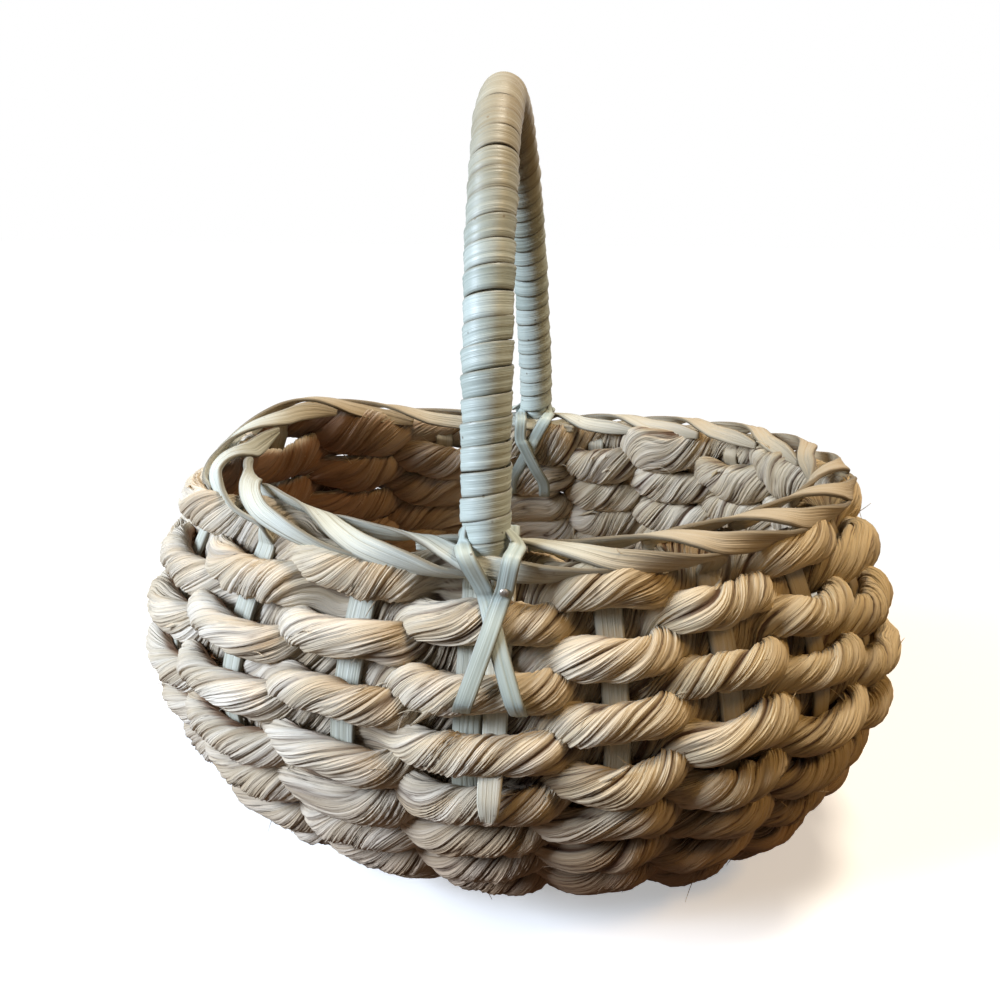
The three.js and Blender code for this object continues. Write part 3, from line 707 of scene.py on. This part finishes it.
def loose_leaf():
    """All loose fibres as one mesh of thin bars: four points to a station, sides between them, two caps."""
    made = np.concatenate(frays)
    count = len(made)
    vertex = np.arange(count * FRAY_STATIONS * 4).reshape(count, FRAY_STATIONS, 4)
    after = np.roll(vertex, -1, 2)
    sides = np.stack([vertex[:, :-1], vertex[:, 1:], after[:, 1:], after[:, :-1]], -1)
    faces = np.vstack([sides.reshape(-1, 4), vertex[:, 0], vertex[:, -1, ::-1]])
    draw = np.random.default_rng(FRAY_SEED)
    uv = np.zeros((count, FRAY_STATIONS, 4, 2))
    uv[..., 0] = np.linspace(0, 0.02, FRAY_STATIONS)[None, :, None] + draw.uniform(0, 9, count)[:, None, None]
    uv[..., 1] = np.array([0.0, 0.0015, 0.0015, 0.0])
    tone = np.repeat(draw.uniform(0.2, 0.6, count), FRAY_STATIONS * 4)
    corners = uv.reshape(-1, 2)[faces]
    meshed("loose_leaf", made.reshape(-1, 3), faces, corners, LEAF, (), {"tone": tone})


for row in range(ROWS):
    rope(row)

# Flat strips: places across a strip, from edge to edge, and how thick it is there.
ACROSS = np.array([1, 0.94, 0.8, 0.6, 0.4, 0.2, 0, -0.2, -0.4, -0.6, -0.8, -0.94, -1])
ROUNDED = np.array([0.3, 0.8] + [1.0] * (len(ACROSS) - 4) + [0.8, 0.3])
GROOVE_DEPTH = 0.07
CROWN_BELOW = 0.6
EDGE_POWER = 9
STRIP_TONE = 0.06
STRIP_TONE_SPREAD = 0.03


def strip(name, stations, width, thickness, material, nodes, draw, crown=0.25, tone=0.0, amber=0.0):
    """Flat strip of split cane through a row of stations: middle, direction across and outer face in each.

    At each station the section is a thin bar, square to the run, whose edges are rounded, whose outer face
    is crowned as one less the square of the place across, and which keeps the same shallow grooves along
    its whole length. Width, thickness, `tone` and `amber` are one value each, or one for each station.
    """
    centre, half, face = np.split(stations, 3, axis=1)
    tangent = unit(np.gradient(centre, axis=0))
    half = unit(half - tangent * (half * tangent).sum(1, keepdims=True))
    normal = np.cross(tangent, half)
    flip = np.sign((normal * face).sum(1, keepdims=True))
    half, normal = half * flip, normal * flip
    groove = draw.normal(0, GROOVE_DEPTH, (2, len(ACROSS)))
    thickness, width, tone, amber = (
        np.broadcast_to(value, len(centre))[:, None] for value in (thickness, width, tone, amber))
    top = thickness / 2 * ROUNDED + groove[0] + crown * (1 - ACROSS**2)
    bottom = -thickness / 2 * ROUNDED + groove[1] + CROWN_BELOW * crown * (1 - ACROSS**2)
    heights = np.hstack([top, bottom[:, ::-1]])
    sides = np.hstack([width / 2 * ACROSS, width / 2 * ACROSS[::-1]])
    points = centre[:, None, :] + half[:, None, :] * sides[..., None]
    points = points + normal[:, None, :] * heights[..., None]
    run = along_lengths(centre)
    across = np.concatenate([ACROSS, ACROSS[::-1], ACROSS[:1]]) * np.mean(width) / 2
    uv = uv_grid(np.append(run, run[-1]), across)
    uv += draw.uniform(0, 3, 2)
    grain = draw.normal(0, STRIP_TONE_SPREAD, len(sides[0]))[None, :]
    # Painted shade along both edges, where turns and strips meet.
    edge = np.abs(np.concatenate([ACROSS, ACROSS[::-1]])) ** EDGE_POWER
    marks = {
        "tone": tone + grain + STRIP_TONE,
        "edge": np.broadcast_to(edge, points.shape[:2]),
        "amber": np.broadcast_to(amber, points.shape[:2]),
    }
    return piece(name, points, False, uv, material, nodes, marks)


# Stakes. The ranges are millimetres: along the stake from its end, in Y, in X, and in X times Y.
FOOT_BULGE = (1.6 * ROD_RADIUS, 4 * ROD_RADIUS)
STAKE_SEED = 300
STAKE_STEPS = 7
BORDER_TAIL = (95, 140)
FAR_SIDE = (-20, 50)
CUT_END = (-10, 16)
CUT_WIDTH = 0.2
WIDTH_WAVER = 0.05
WAVER_LENGTH = 19
# Painted shade: the stakes turn amber-brown towards +X and at the far -X corner.
SHADE_AMBER_X = (-10, 100)
SHADE_AMBER_CORNERS = (1000, 6000)
BORDER_TONE = 0.13
STAKE_SHADE_AMBER = 0.7


def border_place(index, turn):
    """Stations of the border: an ellipse round the rim's axis at a turn, wider beside the handle's feet.

    The outer face is square to the ellipse and the strip lies along its tangent.
    """
    angle = angle_at(index)
    turn = np.radians(turn)[:, None]
    handle = np.round((angle - math.pi / 2) / math.pi) * math.pi + math.pi / 2
    near = 1 - smooth(*FOOT_BULGE, np.abs(angle - handle) * RIM_MIDDLE)[:, None]
    wide = BORDER_HALF_WIDTH + near * np.where(np.cos(turn) > 0, BORDER_BULGE_OUT, BORDER_BULGE_IN)
    point, out, side = rim(angle, (wide * np.cos(turn))[:, 0], BORDER_HALF_HEIGHT * np.sin(turn)[:, 0])
    radial = unit(out * BORDER_HALF_HEIGHT * np.cos(turn) + UP * wide * np.sin(turn))
    across = unit(-out * wide * np.sin(turn) + UP * BORDER_HALF_HEIGHT * np.cos(turn))
    return point, across, radial, side


def stake_side(i):
    """Stations of one stake end, from its border tail's cut end to the floor: point, across, outer face."""
    past, turn = BORDER_TURN[::-1].T
    point, across, radial, side = border_place(i - past, turn)
    half = across.copy()
    half[-1] = unit(across[-1] + side[-1])
    border = np.hstack([point, half, radial])
    angle = np.array([STAKE_ANGLE[i]])
    point, out, side = rim(angle, np.zeros(1), np.full(1, BORDER_NECK - BORDER_LIFT))
    neck = np.hstack([point, side, out])
    runs = np.concatenate([[0], (np.arange(ROWS) + 0.5) * PITCH])
    point, out, _, side = wall(STAKE_ANGLE[i], runs)
    return np.vstack([border, neck, np.hstack([point, side, out])])


FLOOR_HALF = FOOT_HALF - FOOT_STEP - FLOOR_MARGIN
FLOOR_HALF_WIDTH = FLOOR_HALF - LENGTH_OVER_WIDTH
LAYER = (STAKE_THICKNESS + CLEARANCE) / 2
CROSS_ENDS = [(k % STAKE_ENDS, RIGHT_STAKES - k) for k in range(-CROSS_LEFT, CROSS_RIGHT + 1)]
LONG_ENDS = [(k, RIGHT_STAKES + STAKE_ENDS // 2 - k)
             for k in range(CROSS_RIGHT + 1, RIGHT_STAKES - CROSS_RIGHT)]
FLOOR_X = FLOOR_HALF * np.cos(STAKE_ANGLE)
FLOOR_X[[0, RIGHT_STAKES]] = 0
FLOOR_X += drift(FLOOR_LEVEL)
CROSS_X = FLOOR_X[[k for k, _ in CROSS_ENDS]]
FLOOR_POINT = np.stack([FLOOR_X, FLOOR_HALF_WIDTH * np.sin(STAKE_ANGLE)], 1)


def long_line(ends, x):
    """Y of a long stake's straight floor line at an X."""
    (x1, y1), (x2, y2) = FLOOR_POINT[list(ends)]
    return y1 + (y2 - y1) * (x - x1) / (x2 - x1)


def floor_run(crossings, start, end, parity):
    """Runs and heights across the floor: level at both ends, one layer over or under at every crossing."""
    reach = math.copysign(STAKE_WIDTH / 2 + CLEARANCE, end - start)
    over = np.where((np.arange(len(crossings)) + parity) % 2 == 0, LAYER, -LAYER)
    runs = np.stack([crossings - reach, crossings + reach], 1).ravel()
    return (np.concatenate([[start], runs, [end]]),
            FLOOR_LEVEL + np.concatenate([[0.0], np.repeat(over, 2), [0.0]]))


def floor_stations(x, y, z, across):
    """Stations on the floor, with the given direction across and the outer face down."""
    point = np.stack(np.broadcast_arrays(x, y, z), 1)
    return np.hstack([point, np.tile(across, (len(point), 1)), np.tile(-UP, (len(point), 1))])


def stake(name, first, last, floor):
    """A whole stake, from border tail to border tail, narrowed towards a point at both cut ends."""
    draw = np.random.default_rng(STAKE_SEED + 20 * first + last)
    back = stake_side(last)[::-1]
    back[:, 3:6] *= -1
    stations = centripetal(np.vstack([stake_side(first), floor, back]), STAKE_STEPS, 3)
    run = along_lengths(stations[:, :3])
    end = np.minimum(run, run[-1] - run)
    border = 1 - smooth(*BORDER_TAIL, end)
    x, y = stations[:, :2].T
    width = STAKE_WIDTH + (BORDER_WIDTH - FAR_NARROWING * smooth(*FAR_SIDE, y) - STAKE_WIDTH) * border
    width *= CUT_WIDTH + (1 - CUT_WIDTH) * smooth(*CUT_END, end)
    width *= 1 + WIDTH_WAVER * np.sin(run / WAVER_LENGTH + draw.uniform(0, TAU))
    # Painted shade in amber towards +X and at the far -X corner.
    amber_and_shade = np.maximum(smooth(*SHADE_AMBER_X, x), smooth(*SHADE_AMBER_CORNERS, -x * y))
    strip(f"cane_{name}", stations, width, STAKE_THICKNESS, STAKE, [name], draw,
          tone=BORDER_TONE * border, amber=STAKE_SHADE_AMBER * amber_and_shade)


for number, ends in enumerate(CROSS_ENDS):
    reach = FLOOR_HALF_WIDTH * abs(math.sin(STAKE_ANGLE[ends[0]]))
    crossings = np.array([long_line(other, CROSS_X[number]) for other in LONG_ENDS])
    y, z = floor_run(crossings, -reach, reach, number)
    stake(f"cross_stake_{number + 1}", *ends, floor_stations(CROSS_X[number], y, z, [1.0, 0.0, 0.0]))
for number, ends in enumerate(LONG_ENDS):
    (start, _), (stop, _) = FLOOR_POINT[list(ends)]
    x, z = floor_run(CROSS_X[::-1], start, stop, number + len(CROSS_X))
    stake(f"long_stake_{number + 1}", *ends, floor_stations(x, long_line(ends, x), z, [0.0, 1.0, 0.0]))

# Handle: the arch's shape, the wound strip, and the rod's tails, whose stations are counted in rows.
LEG_HALF_SPAN = RIM_MIDDLE - LENGTH_OVER_WIDTH
ARCH_FOOT = RIM_HEIGHT + BORDER_LIFT + WRAP_LIFT - ARCH_FOOT_DROP
ARCH_TOP = HANDLE_TOP - WRAP_OUTER
ARCH_SHOULDER = 0.62
ARCH_SPREAD = 0.56
WRAP_SEED = 500
WRAP_STEPS = 44
WRAP_STRAY = 0.3
WRAP_RISE = 0.55
WRAP_UNEVEN = 0.12
WRAP_TILT = 0.085
WRAP_TILT_STRAY = 0.03
WRAP_WIDTH_STRAY = 0.03
WOUND_THICKNESS = 0.75
WOUND_CROWN = 0.12
LOW_DROP = 0.95
LOW_EDGE = (-0.12, 0.06)
TOP_TONE = -0.16
FOOT_TONE = 0.5
WRAP_TONE_STRAY = 0.10
TOP_AMBER = 0.5
ROD_POINTS = 16
ROD_STEPS = 90
ROD_TONE = 0.1
TAIL_SQUARENESS = 1.35
TAIL_STATIONS = np.array([0, 0.5, 1.5, 2.5, 3.5, 4.5, 5.3, 5.6, 5.9, 6.2, 6.6, 7.0, 7.25])
TAIL_LIFT = ([5.3, 6.1, 6.6, 7.25], [0, WALL_HALF - 3, WALL_HALF + 0.8, WALL_HALF + 1.6])
TAIL_TAPER = ([5.8, 6.8, 7.25], [1, 0.9, 0.6])


def arch_line():
    """Middle line of the handle: two cubic Bezier curves that meet level at the top, with straight feet.

    The halves are mirrored, but for the feet, which stand a little askew of the short axis.
    """
    rise = ARCH_TOP - ARCH_FOOT
    t = np.linspace(0, 1, 400)[:, None]
    halves = []
    for skew, bow in ((-HANDLE_SKEW, -HANDLE_SKEW / 2), (HANDLE_SKEW, HANDLE_SKEW)):
        a, b, c, d = np.array([
            [skew, -LEG_HALF_SPAN, ARCH_FOOT],
            [HANDLE_LEAN / 2 + bow, -LEG_HALF_SPAN + LEG_LEAN, ARCH_FOOT + ARCH_SHOULDER * rise],
            [HANDLE_LEAN, -ARCH_SPREAD * LEG_HALF_SPAN, ARCH_TOP],
            [HANDLE_LEAN, 0, ARCH_TOP]])
        half = (1 - t)**3 * a + 3 * (1 - t)**2 * t * b + 3 * (1 - t) * t**2 * c + t**3 * d
        halves.append(np.vstack([half[0] - NECK * unit(half[1] - half[0]), half]))
    return np.vstack([halves[0], halves[1][-2::-1] * [1, -1, 1]])


ARCH = arch_line()
ARCH_RUN = along_lengths(ARCH) - NECK
ARCH_ALONG = unit(np.gradient(ARCH, ARCH_RUN, axis=0))
ARCH_OUT = unit(np.cross(np.array([1.0, 0.0, 0.0]), ARCH_ALONG))
ARCH_LENGTH = ARCH_RUN[-1] - NECK


def on_arch(run, turn, radius):
    """Places round the handle: its middle line at a run, moved by a radius at a turn from its outer side."""
    middle, along, out = (np.stack([np.interp(run, ARCH_RUN, c) for c in rows.T], -1)
                          for rows in (ARCH, ARCH_ALONG, ARCH_OUT))
    side = unit(np.cross(along, out))
    radial = out * np.cos(turn)[..., None] + side * np.sin(turn)[..., None]
    return middle + radial * np.asarray(radius)[..., None], radial, along


def wound_strip():
    """The handle's strip: one ribbon on a helix from foot to foot, each turn a little over the one before.

    Its pitch and width wander, and about one turn at each foot lies lower, straight on the rod.
    """
    draw = np.random.default_rng(WRAP_SEED)
    turns = np.linspace(-LOW_TURN, WRAP_TURNS + LOW_TURN, WRAP_STEPS * WRAP_TURNS)
    share = (turns + LOW_TURN) / (WRAP_TURNS + 2 * LOW_TURN)
    pitch = (ARCH_LENGTH - 2 * WRAP_START) / WRAP_TURNS
    run = WRAP_START + turns * pitch + WRAP_STRAY * wander(share, 60, draw)
    edge = np.minimum(turns, WRAP_TURNS - turns)
    radius = WRAP_INNER + WRAP_RISE + WRAP_UNEVEN * wander(share, 90, draw)
    radius = radius - LOW_DROP * (1 - smooth(*LOW_EDGE, edge))
    centre, radial, along = on_arch(run, TAU * turns, radius)
    lean = WRAP_TILT + WRAP_TILT_STRAY * wander(share, 70, draw)[:, None]
    width = pitch * (1.0 + WRAP_WIDTH_STRAY * wander(share, 60, draw))
    height = np.clip((centre[:, 2] - ARCH_FOOT) / (ARCH_TOP - ARCH_FOOT), 0, 1)
    tone = WRAP_TONE_STRAY * wander(share, 50, draw) + TOP_TONE + FOOT_TONE * (1 - height)
    strip("wound_strip", np.hstack([centre, along + radial * lean, radial]), width, WOUND_THICKNESS, STRIP,
          ["handle_wrap"], draw, WOUND_CROWN, tone, TOP_AMBER * smooth(0.5, 1, height))


def bent_rod():
    """The rod: round along the arch, then shaved to a flat tail that goes down the wall beside a stake.

    Each section is a circle or a rounded bar. The tail's tip is tapered and comes out over the weave.
    """
    spin = (np.arange(ROD_POINTS) + 0.5) / ROD_POINTS * TAU
    run = np.repeat(np.linspace(0, ARCH_LENGTH, ROD_STEPS)[:, None], ROD_POINTS, 1)
    arch = on_arch(run, np.tile(spin, (ROD_STEPS, 1)), np.full(run.shape, ROD_RADIUS))[0]
    flat_x = np.clip(TAIL_SQUARENESS * np.sin(spin), -1, 1)
    flat_y = np.clip(TAIL_SQUARENESS * np.cos(spin), -1, 1)
    lift = np.interp(TAIL_STATIONS, *TAIL_LIFT)
    taper = np.interp(TAIL_STATIONS, *TAIL_TAPER) * TAIL_WIDTH / 2
    rings = []
    for end, angle in ((0, -TAU / 4), (RIGHT_STAKES, TAU / 4)):
        point, out, _, side = wall(STAKE_ANGLE[end], TAIL_STATIONS * PITCH)
        point = point + side * TAIL_CENTRE + out * lift[:, None]
        neck, neck_out, neck_side = rim(np.array([angle]), np.zeros(1), np.full(1, -TAIL_DROP))
        neck = neck + neck_side * (TAIL_CENTRE - HANDLE_STAKE_SHIFT)
        point, side, out = np.vstack([neck, point]), np.vstack([neck_side, side]), np.vstack([neck_out, out])
        half = np.append(TAIL_WIDTH / 2, taper)[:, None] * flat_x
        rings.append(point[:, None, :] + side[:, None, :] * half[..., None]
                     + out[:, None, :] * (STAKE_THICKNESS / 2 * flat_y)[None, :, None])
    points = np.vstack([rings[0][::-1], arch, rings[1][:, ::-1]])
    runs = along_lengths(points.mean(1))
    around = np.arange(ROD_POINTS + 1) / ROD_POINTS * TAU * ROD_RADIUS
    piece("bent_rod", points, False, uv_grid(np.append(runs, runs[-1]), around), ROD,
          ["handle_rod"], {"tone": np.full(points.shape[:2], ROD_TONE)})


wound_strip()
bent_rod()
loose_leaf()

# Lashings and nails: how a strip starts round the rod, tucks in at its foot, and a brad's radius and height.
LASH_SEED = 700
LASH_STEPS = 8
LASH_TOP_DEGREES = np.array([78.0, 62.0])
LASH_TOP_RISE = WRAP_LIFT + np.array([1.5, -3])
LASH_TOP_GAP = 0.1
LASH_TOP_STAND = 1.0
LASH_SKEW_SHARE = 0.25
LASH_TUCK_ROWS = np.array([0.25, 0.55, 0.62])
LASH_TUCK_DEPTH = 2
LASH_START_WIDTH = 0.7
LASH_START_RUN = 9
LASH_CROWN = 0.2
LASH_TONE = 0.1
NAIL_SIDES = 20
NAIL_PROFILE = np.array([
    [0.01, 1.75], [0.5, 1.72], [1.0, 1.6], [1.4, 1.35], [1.6, 1.1], [1.58, 0.9], [0.7, 0.85], [0.7, -6.0],
    [0.01, -8.0]])


def lash_stations(end, outside, over):
    """Stations of one crossed strip, from under the wound strip, over the border and down the wall's face.

    Its top lies round the side of the rod, and its foot turns in under the last rope that it passes.
    """
    angle = -TAU / 4 if end == 0 else TAU / 4
    face = 1 if outside else -1
    lean = 1 if over else -1
    lift = (LASH_CLEARANCE if outside else LASH_INNER_CLEARANCE) + LASH_THICKNESS / 2
    lift += LASH_THICKNESS + CLEARANCE if over else 0
    bulge = BORDER_BULGE_OUT if outside else BORDER_BULGE_IN
    front = BORDER_HALF_WIDTH + bulge + STAKE_THICKNESS / 2 + lift
    rises = np.array([BORDER_HALF_HEIGHT + 1, -NAIL_DROP, -NAIL_DROP - LASH_FLAT])
    point, out, side = rim(np.full(3, angle), face * (front + np.array([0, LASH_BOW, LASH_BOW])), rises)
    first, last = (1, 3.5) if outside else (0, 2.5)
    rows = np.append(np.arange(first, last) + 0.5, last + LASH_TUCK_ROWS)
    tuck = [WALL_HALF - 1 + lift, ROPE_OFFSET + LASH_TUCK_DEPTH, ROPE_OFFSET - LASH_TUCK_DEPTH]
    depth = np.append(np.full(len(rows) - len(tuck), WALL_HALF + lift), tuck)
    low, low_out, _, low_side = wall(angle, rows * PITCH)
    point = np.vstack([point, low + low_out * (face * depth)[:, None]])
    out, side = np.vstack([out, low_out]), np.vstack([side, low_side])
    top = rim(np.array([angle]), np.zeros(1), np.full(1, WRAP_LIFT - WRAP_THICKNESS))[0][0, 2]
    foot = wall(angle, np.array([last * PITCH]))[0][0, 2]
    nailed = point[1, 2]
    aside = np.interp(point[:, 2], [foot, nailed, top], [-LASH_FOOT_SPREAD, NAIL_ASIDE, LASH_TOP_SPREAD])
    skew = HANDLE_SKEW * (LASH_SKEW_SHARE if over and outside else 1.0)
    follow = np.interp(point[:, 2], [nailed, top], [0, -skew])
    down = np.hstack([point + side * (lean * aside + follow)[:, None], side, face * out])

    bend = np.radians(LASH_TOP_DEGREES)[:, None]
    middle, out, side = rim(np.full(2, angle), np.zeros(2), LASH_TOP_RISE)
    middle = middle - side * np.array([[HANDLE_SKEW], [skew]])
    radial = face * out * np.cos(bend) + lean * side * np.sin(bend)
    across = side * np.cos(bend) - lean * face * out * np.sin(bend)
    radius = np.array([[ROD_RADIUS + LASH_TOP_GAP], [ROD_RADIUS + LASH_TOP_STAND + lift / 2]])
    return np.vstack([np.hstack([middle + radial * radius, across, radial]), down])


def lashing(end, outside, over):
    """One lashing strip, narrower where it starts under the wound strip."""
    name = "_".join([
        "near" if end == 0 else "far", "outer" if outside else "inner", "lash", "over" if over else "under"])
    draw = np.random.default_rng(LASH_SEED + 4 * end + 2 * outside + over)
    stations = centripetal(lash_stations(end, outside, over), LASH_STEPS, 3)
    started = smooth(0, LASH_START_RUN, along_lengths(stations[:, :3]))
    width = LASH_WIDTH * (LASH_START_WIDTH + (1 - LASH_START_WIDTH) * started)
    strip(f"cane_{name}", stations, width, LASH_THICKNESS, STRIP, [name], draw, LASH_CROWN,
          LASH_TONE)


def nail(end):
    """Brad: a profile of head and shank turned round its axis, which stands on the nailed outer strip."""
    seat = lash_stations(end, True, True)[3]
    out = seat[6:9]
    side = unit(np.cross(out, UP))
    up = np.cross(side, out)
    spin = np.arange(NAIL_SIDES) / NAIL_SIDES * TAU
    ring = np.cos(spin)[:, None] * side + np.sin(spin)[:, None] * up
    points = seat[:3] + NAIL_PROFILE[:, None, :1] * ring[None] + NAIL_PROFILE[:, None, 1:] * out
    uv = np.zeros((len(NAIL_PROFILE) + 1, NAIL_SIDES + 1, 2))
    name = f"{'near' if end == 0 else 'far'}_lash_nail"
    piece(f"steel_{name}", points, False, uv, STEEL, [name])


for end in (0, RIGHT_STAKES):
    for outside in (True, False):
        for over in (False, True):
            lashing(end, outside, over)
    nail(end)

# Floor, light and camera. Each lamp has a place, a size in metres, a power in watts and a colour.
FLOOR_SIZE = 12
FLOOR_FADE = (0.22, 0.5)
FLOOR_GLOW = 0.4
ROOM_LIGHT = 0.05
WHITE = (1, 1, 1, 1)
BLACK = (0, 0, 0, 1)
LAMP_TARGET = np.array([0.0, 0.0, 0.11])
LAMPS = (
    ("window_key", (-1.3, -0.64, 0.85), 0.62, 44.5, "#e0edff"),
    ("top_light", (0.35, 0.05, 1.5), 0.32, 15.5, "#fff0da"),
    ("warm_fill", (0.9, -0.35, 1.15), 0.3, 6.0, "#ffcf86"),
)


def ground():
    """Pale floor that keeps the shadow near the basket and fades to white farther off."""
    bpy.ops.mesh.primitive_plane_add(size=FLOOR_SIZE)
    floor = bpy.context.object
    floor.name = "floor"
    made, tree, shader = finish("studio_floor", Roughness=0.9, Specular_IOR_Level=0.1, Emission_Color=WHITE)
    seen = node(tree, "LightPath", {})["Is Camera Ray"]
    away = node(tree, "VectorMath", {0: here(tree)}, operation="LENGTH")["Value"]
    near = tinted(tree, seen, linear("#54402f"), linear("#f6f6f6"))
    fade = {"Value": away, "From Min": FLOOR_FADE[0], "From Max": FLOOR_FADE[1]}
    far = node(tree, "MapRange", fade, interpolation_type="SMOOTHSTEP")["Result"]
    far = maths(tree, "MULTIPLY", far, seen)
    tree.links.new(tinted(tree, far, near, BLACK), shader.inputs["Base Color"])
    glow = maths(tree, "MULTIPLY", seen, spread(tree, far, 0.0, 1.0, FLOOR_GLOW, 1.0))
    tree.links.new(glow, shader.inputs["Emission Strength"])
    floor.data.materials.append(made)


def surround():
    """White room for camera, mirror and glass rays, and a faint warm light for the rest."""
    world = bpy.data.worlds.new("studio")
    bpy.context.scene.world = world
    world.use_nodes = True
    tree = world.node_tree
    background = tree.nodes["Background"]
    path = node(tree, "LightPath", {})
    seen = maths(tree, "MAXIMUM", path["Is Camera Ray"], path["Is Glossy Ray"])
    seen = maths(tree, "MAXIMUM", seen, path["Is Transmission Ray"])
    tree.links.new(spread(tree, seen, 0.0, 1.0, ROOM_LIGHT, 1.0), background.inputs["Strength"])
    tree.links.new(tinted(tree, seen, linear("#ffe0bb"), WHITE), background.inputs["Color"])


def lamp(name, place, size, watts, colour):
    """Square soft lamp at a place in metres, turned to the middle of the basket."""
    light = bpy.data.lights.new(name, "AREA")
    light.size = size
    light.energy = watts
    light.color = linear(colour)[:3]
    made = bpy.data.objects.new(name, light)
    back = unit(np.array(place) - LAMP_TARGET)
    right = unit(np.cross(UP, back))
    made.matrix_world = turned(right, np.cross(back, right), back, place)
    bpy.context.collection.objects.link(made)


def turned(right, up, back, place):
    """Matrix with the given axes as its columns, at a place in metres."""
    matrix = np.eye(4)
    matrix[:3, :4] = np.stack([right, up, back, np.array(place)], 1)
    return Matrix(matrix.tolist())


def camera():
    """Camera at the photograph's place, turned by yaw, pitch and roll, with the photograph's focal length."""
    pitch, yaw, roll = (math.radians(a) for a in (CAMERA_PITCH, CAMERA_YAW, CAMERA_ROLL))
    ahead = np.array([-math.sin(yaw) * math.cos(pitch), math.cos(yaw) * math.cos(pitch), -math.sin(pitch)])
    right = np.array([math.cos(yaw), math.sin(yaw), 0.0])
    up = np.cross(right, ahead)
    right, up = right * math.cos(roll) + up * math.sin(roll), up * math.cos(roll) - right * math.sin(roll)
    lens = bpy.data.cameras.new("camera")
    lens.sensor_width = SENSOR_WIDTH
    lens.lens = SENSOR_WIDTH * FOCAL_PIXELS / PHOTO_PIXELS
    lens.clip_start = 0.01
    made = bpy.data.objects.new("camera", lens)
    made.matrix_world = turned(right, up, -ahead, np.array(CAMERA_PLACE) * MM)
    bpy.context.collection.objects.link(made)
    bpy.context.scene.camera = made


ground()
surround()
for values in LAMPS:
    lamp(*values)
camera()
bpy.context.scene.view_settings.view_transform = "Standard"

bpy.context.view_layer.update()
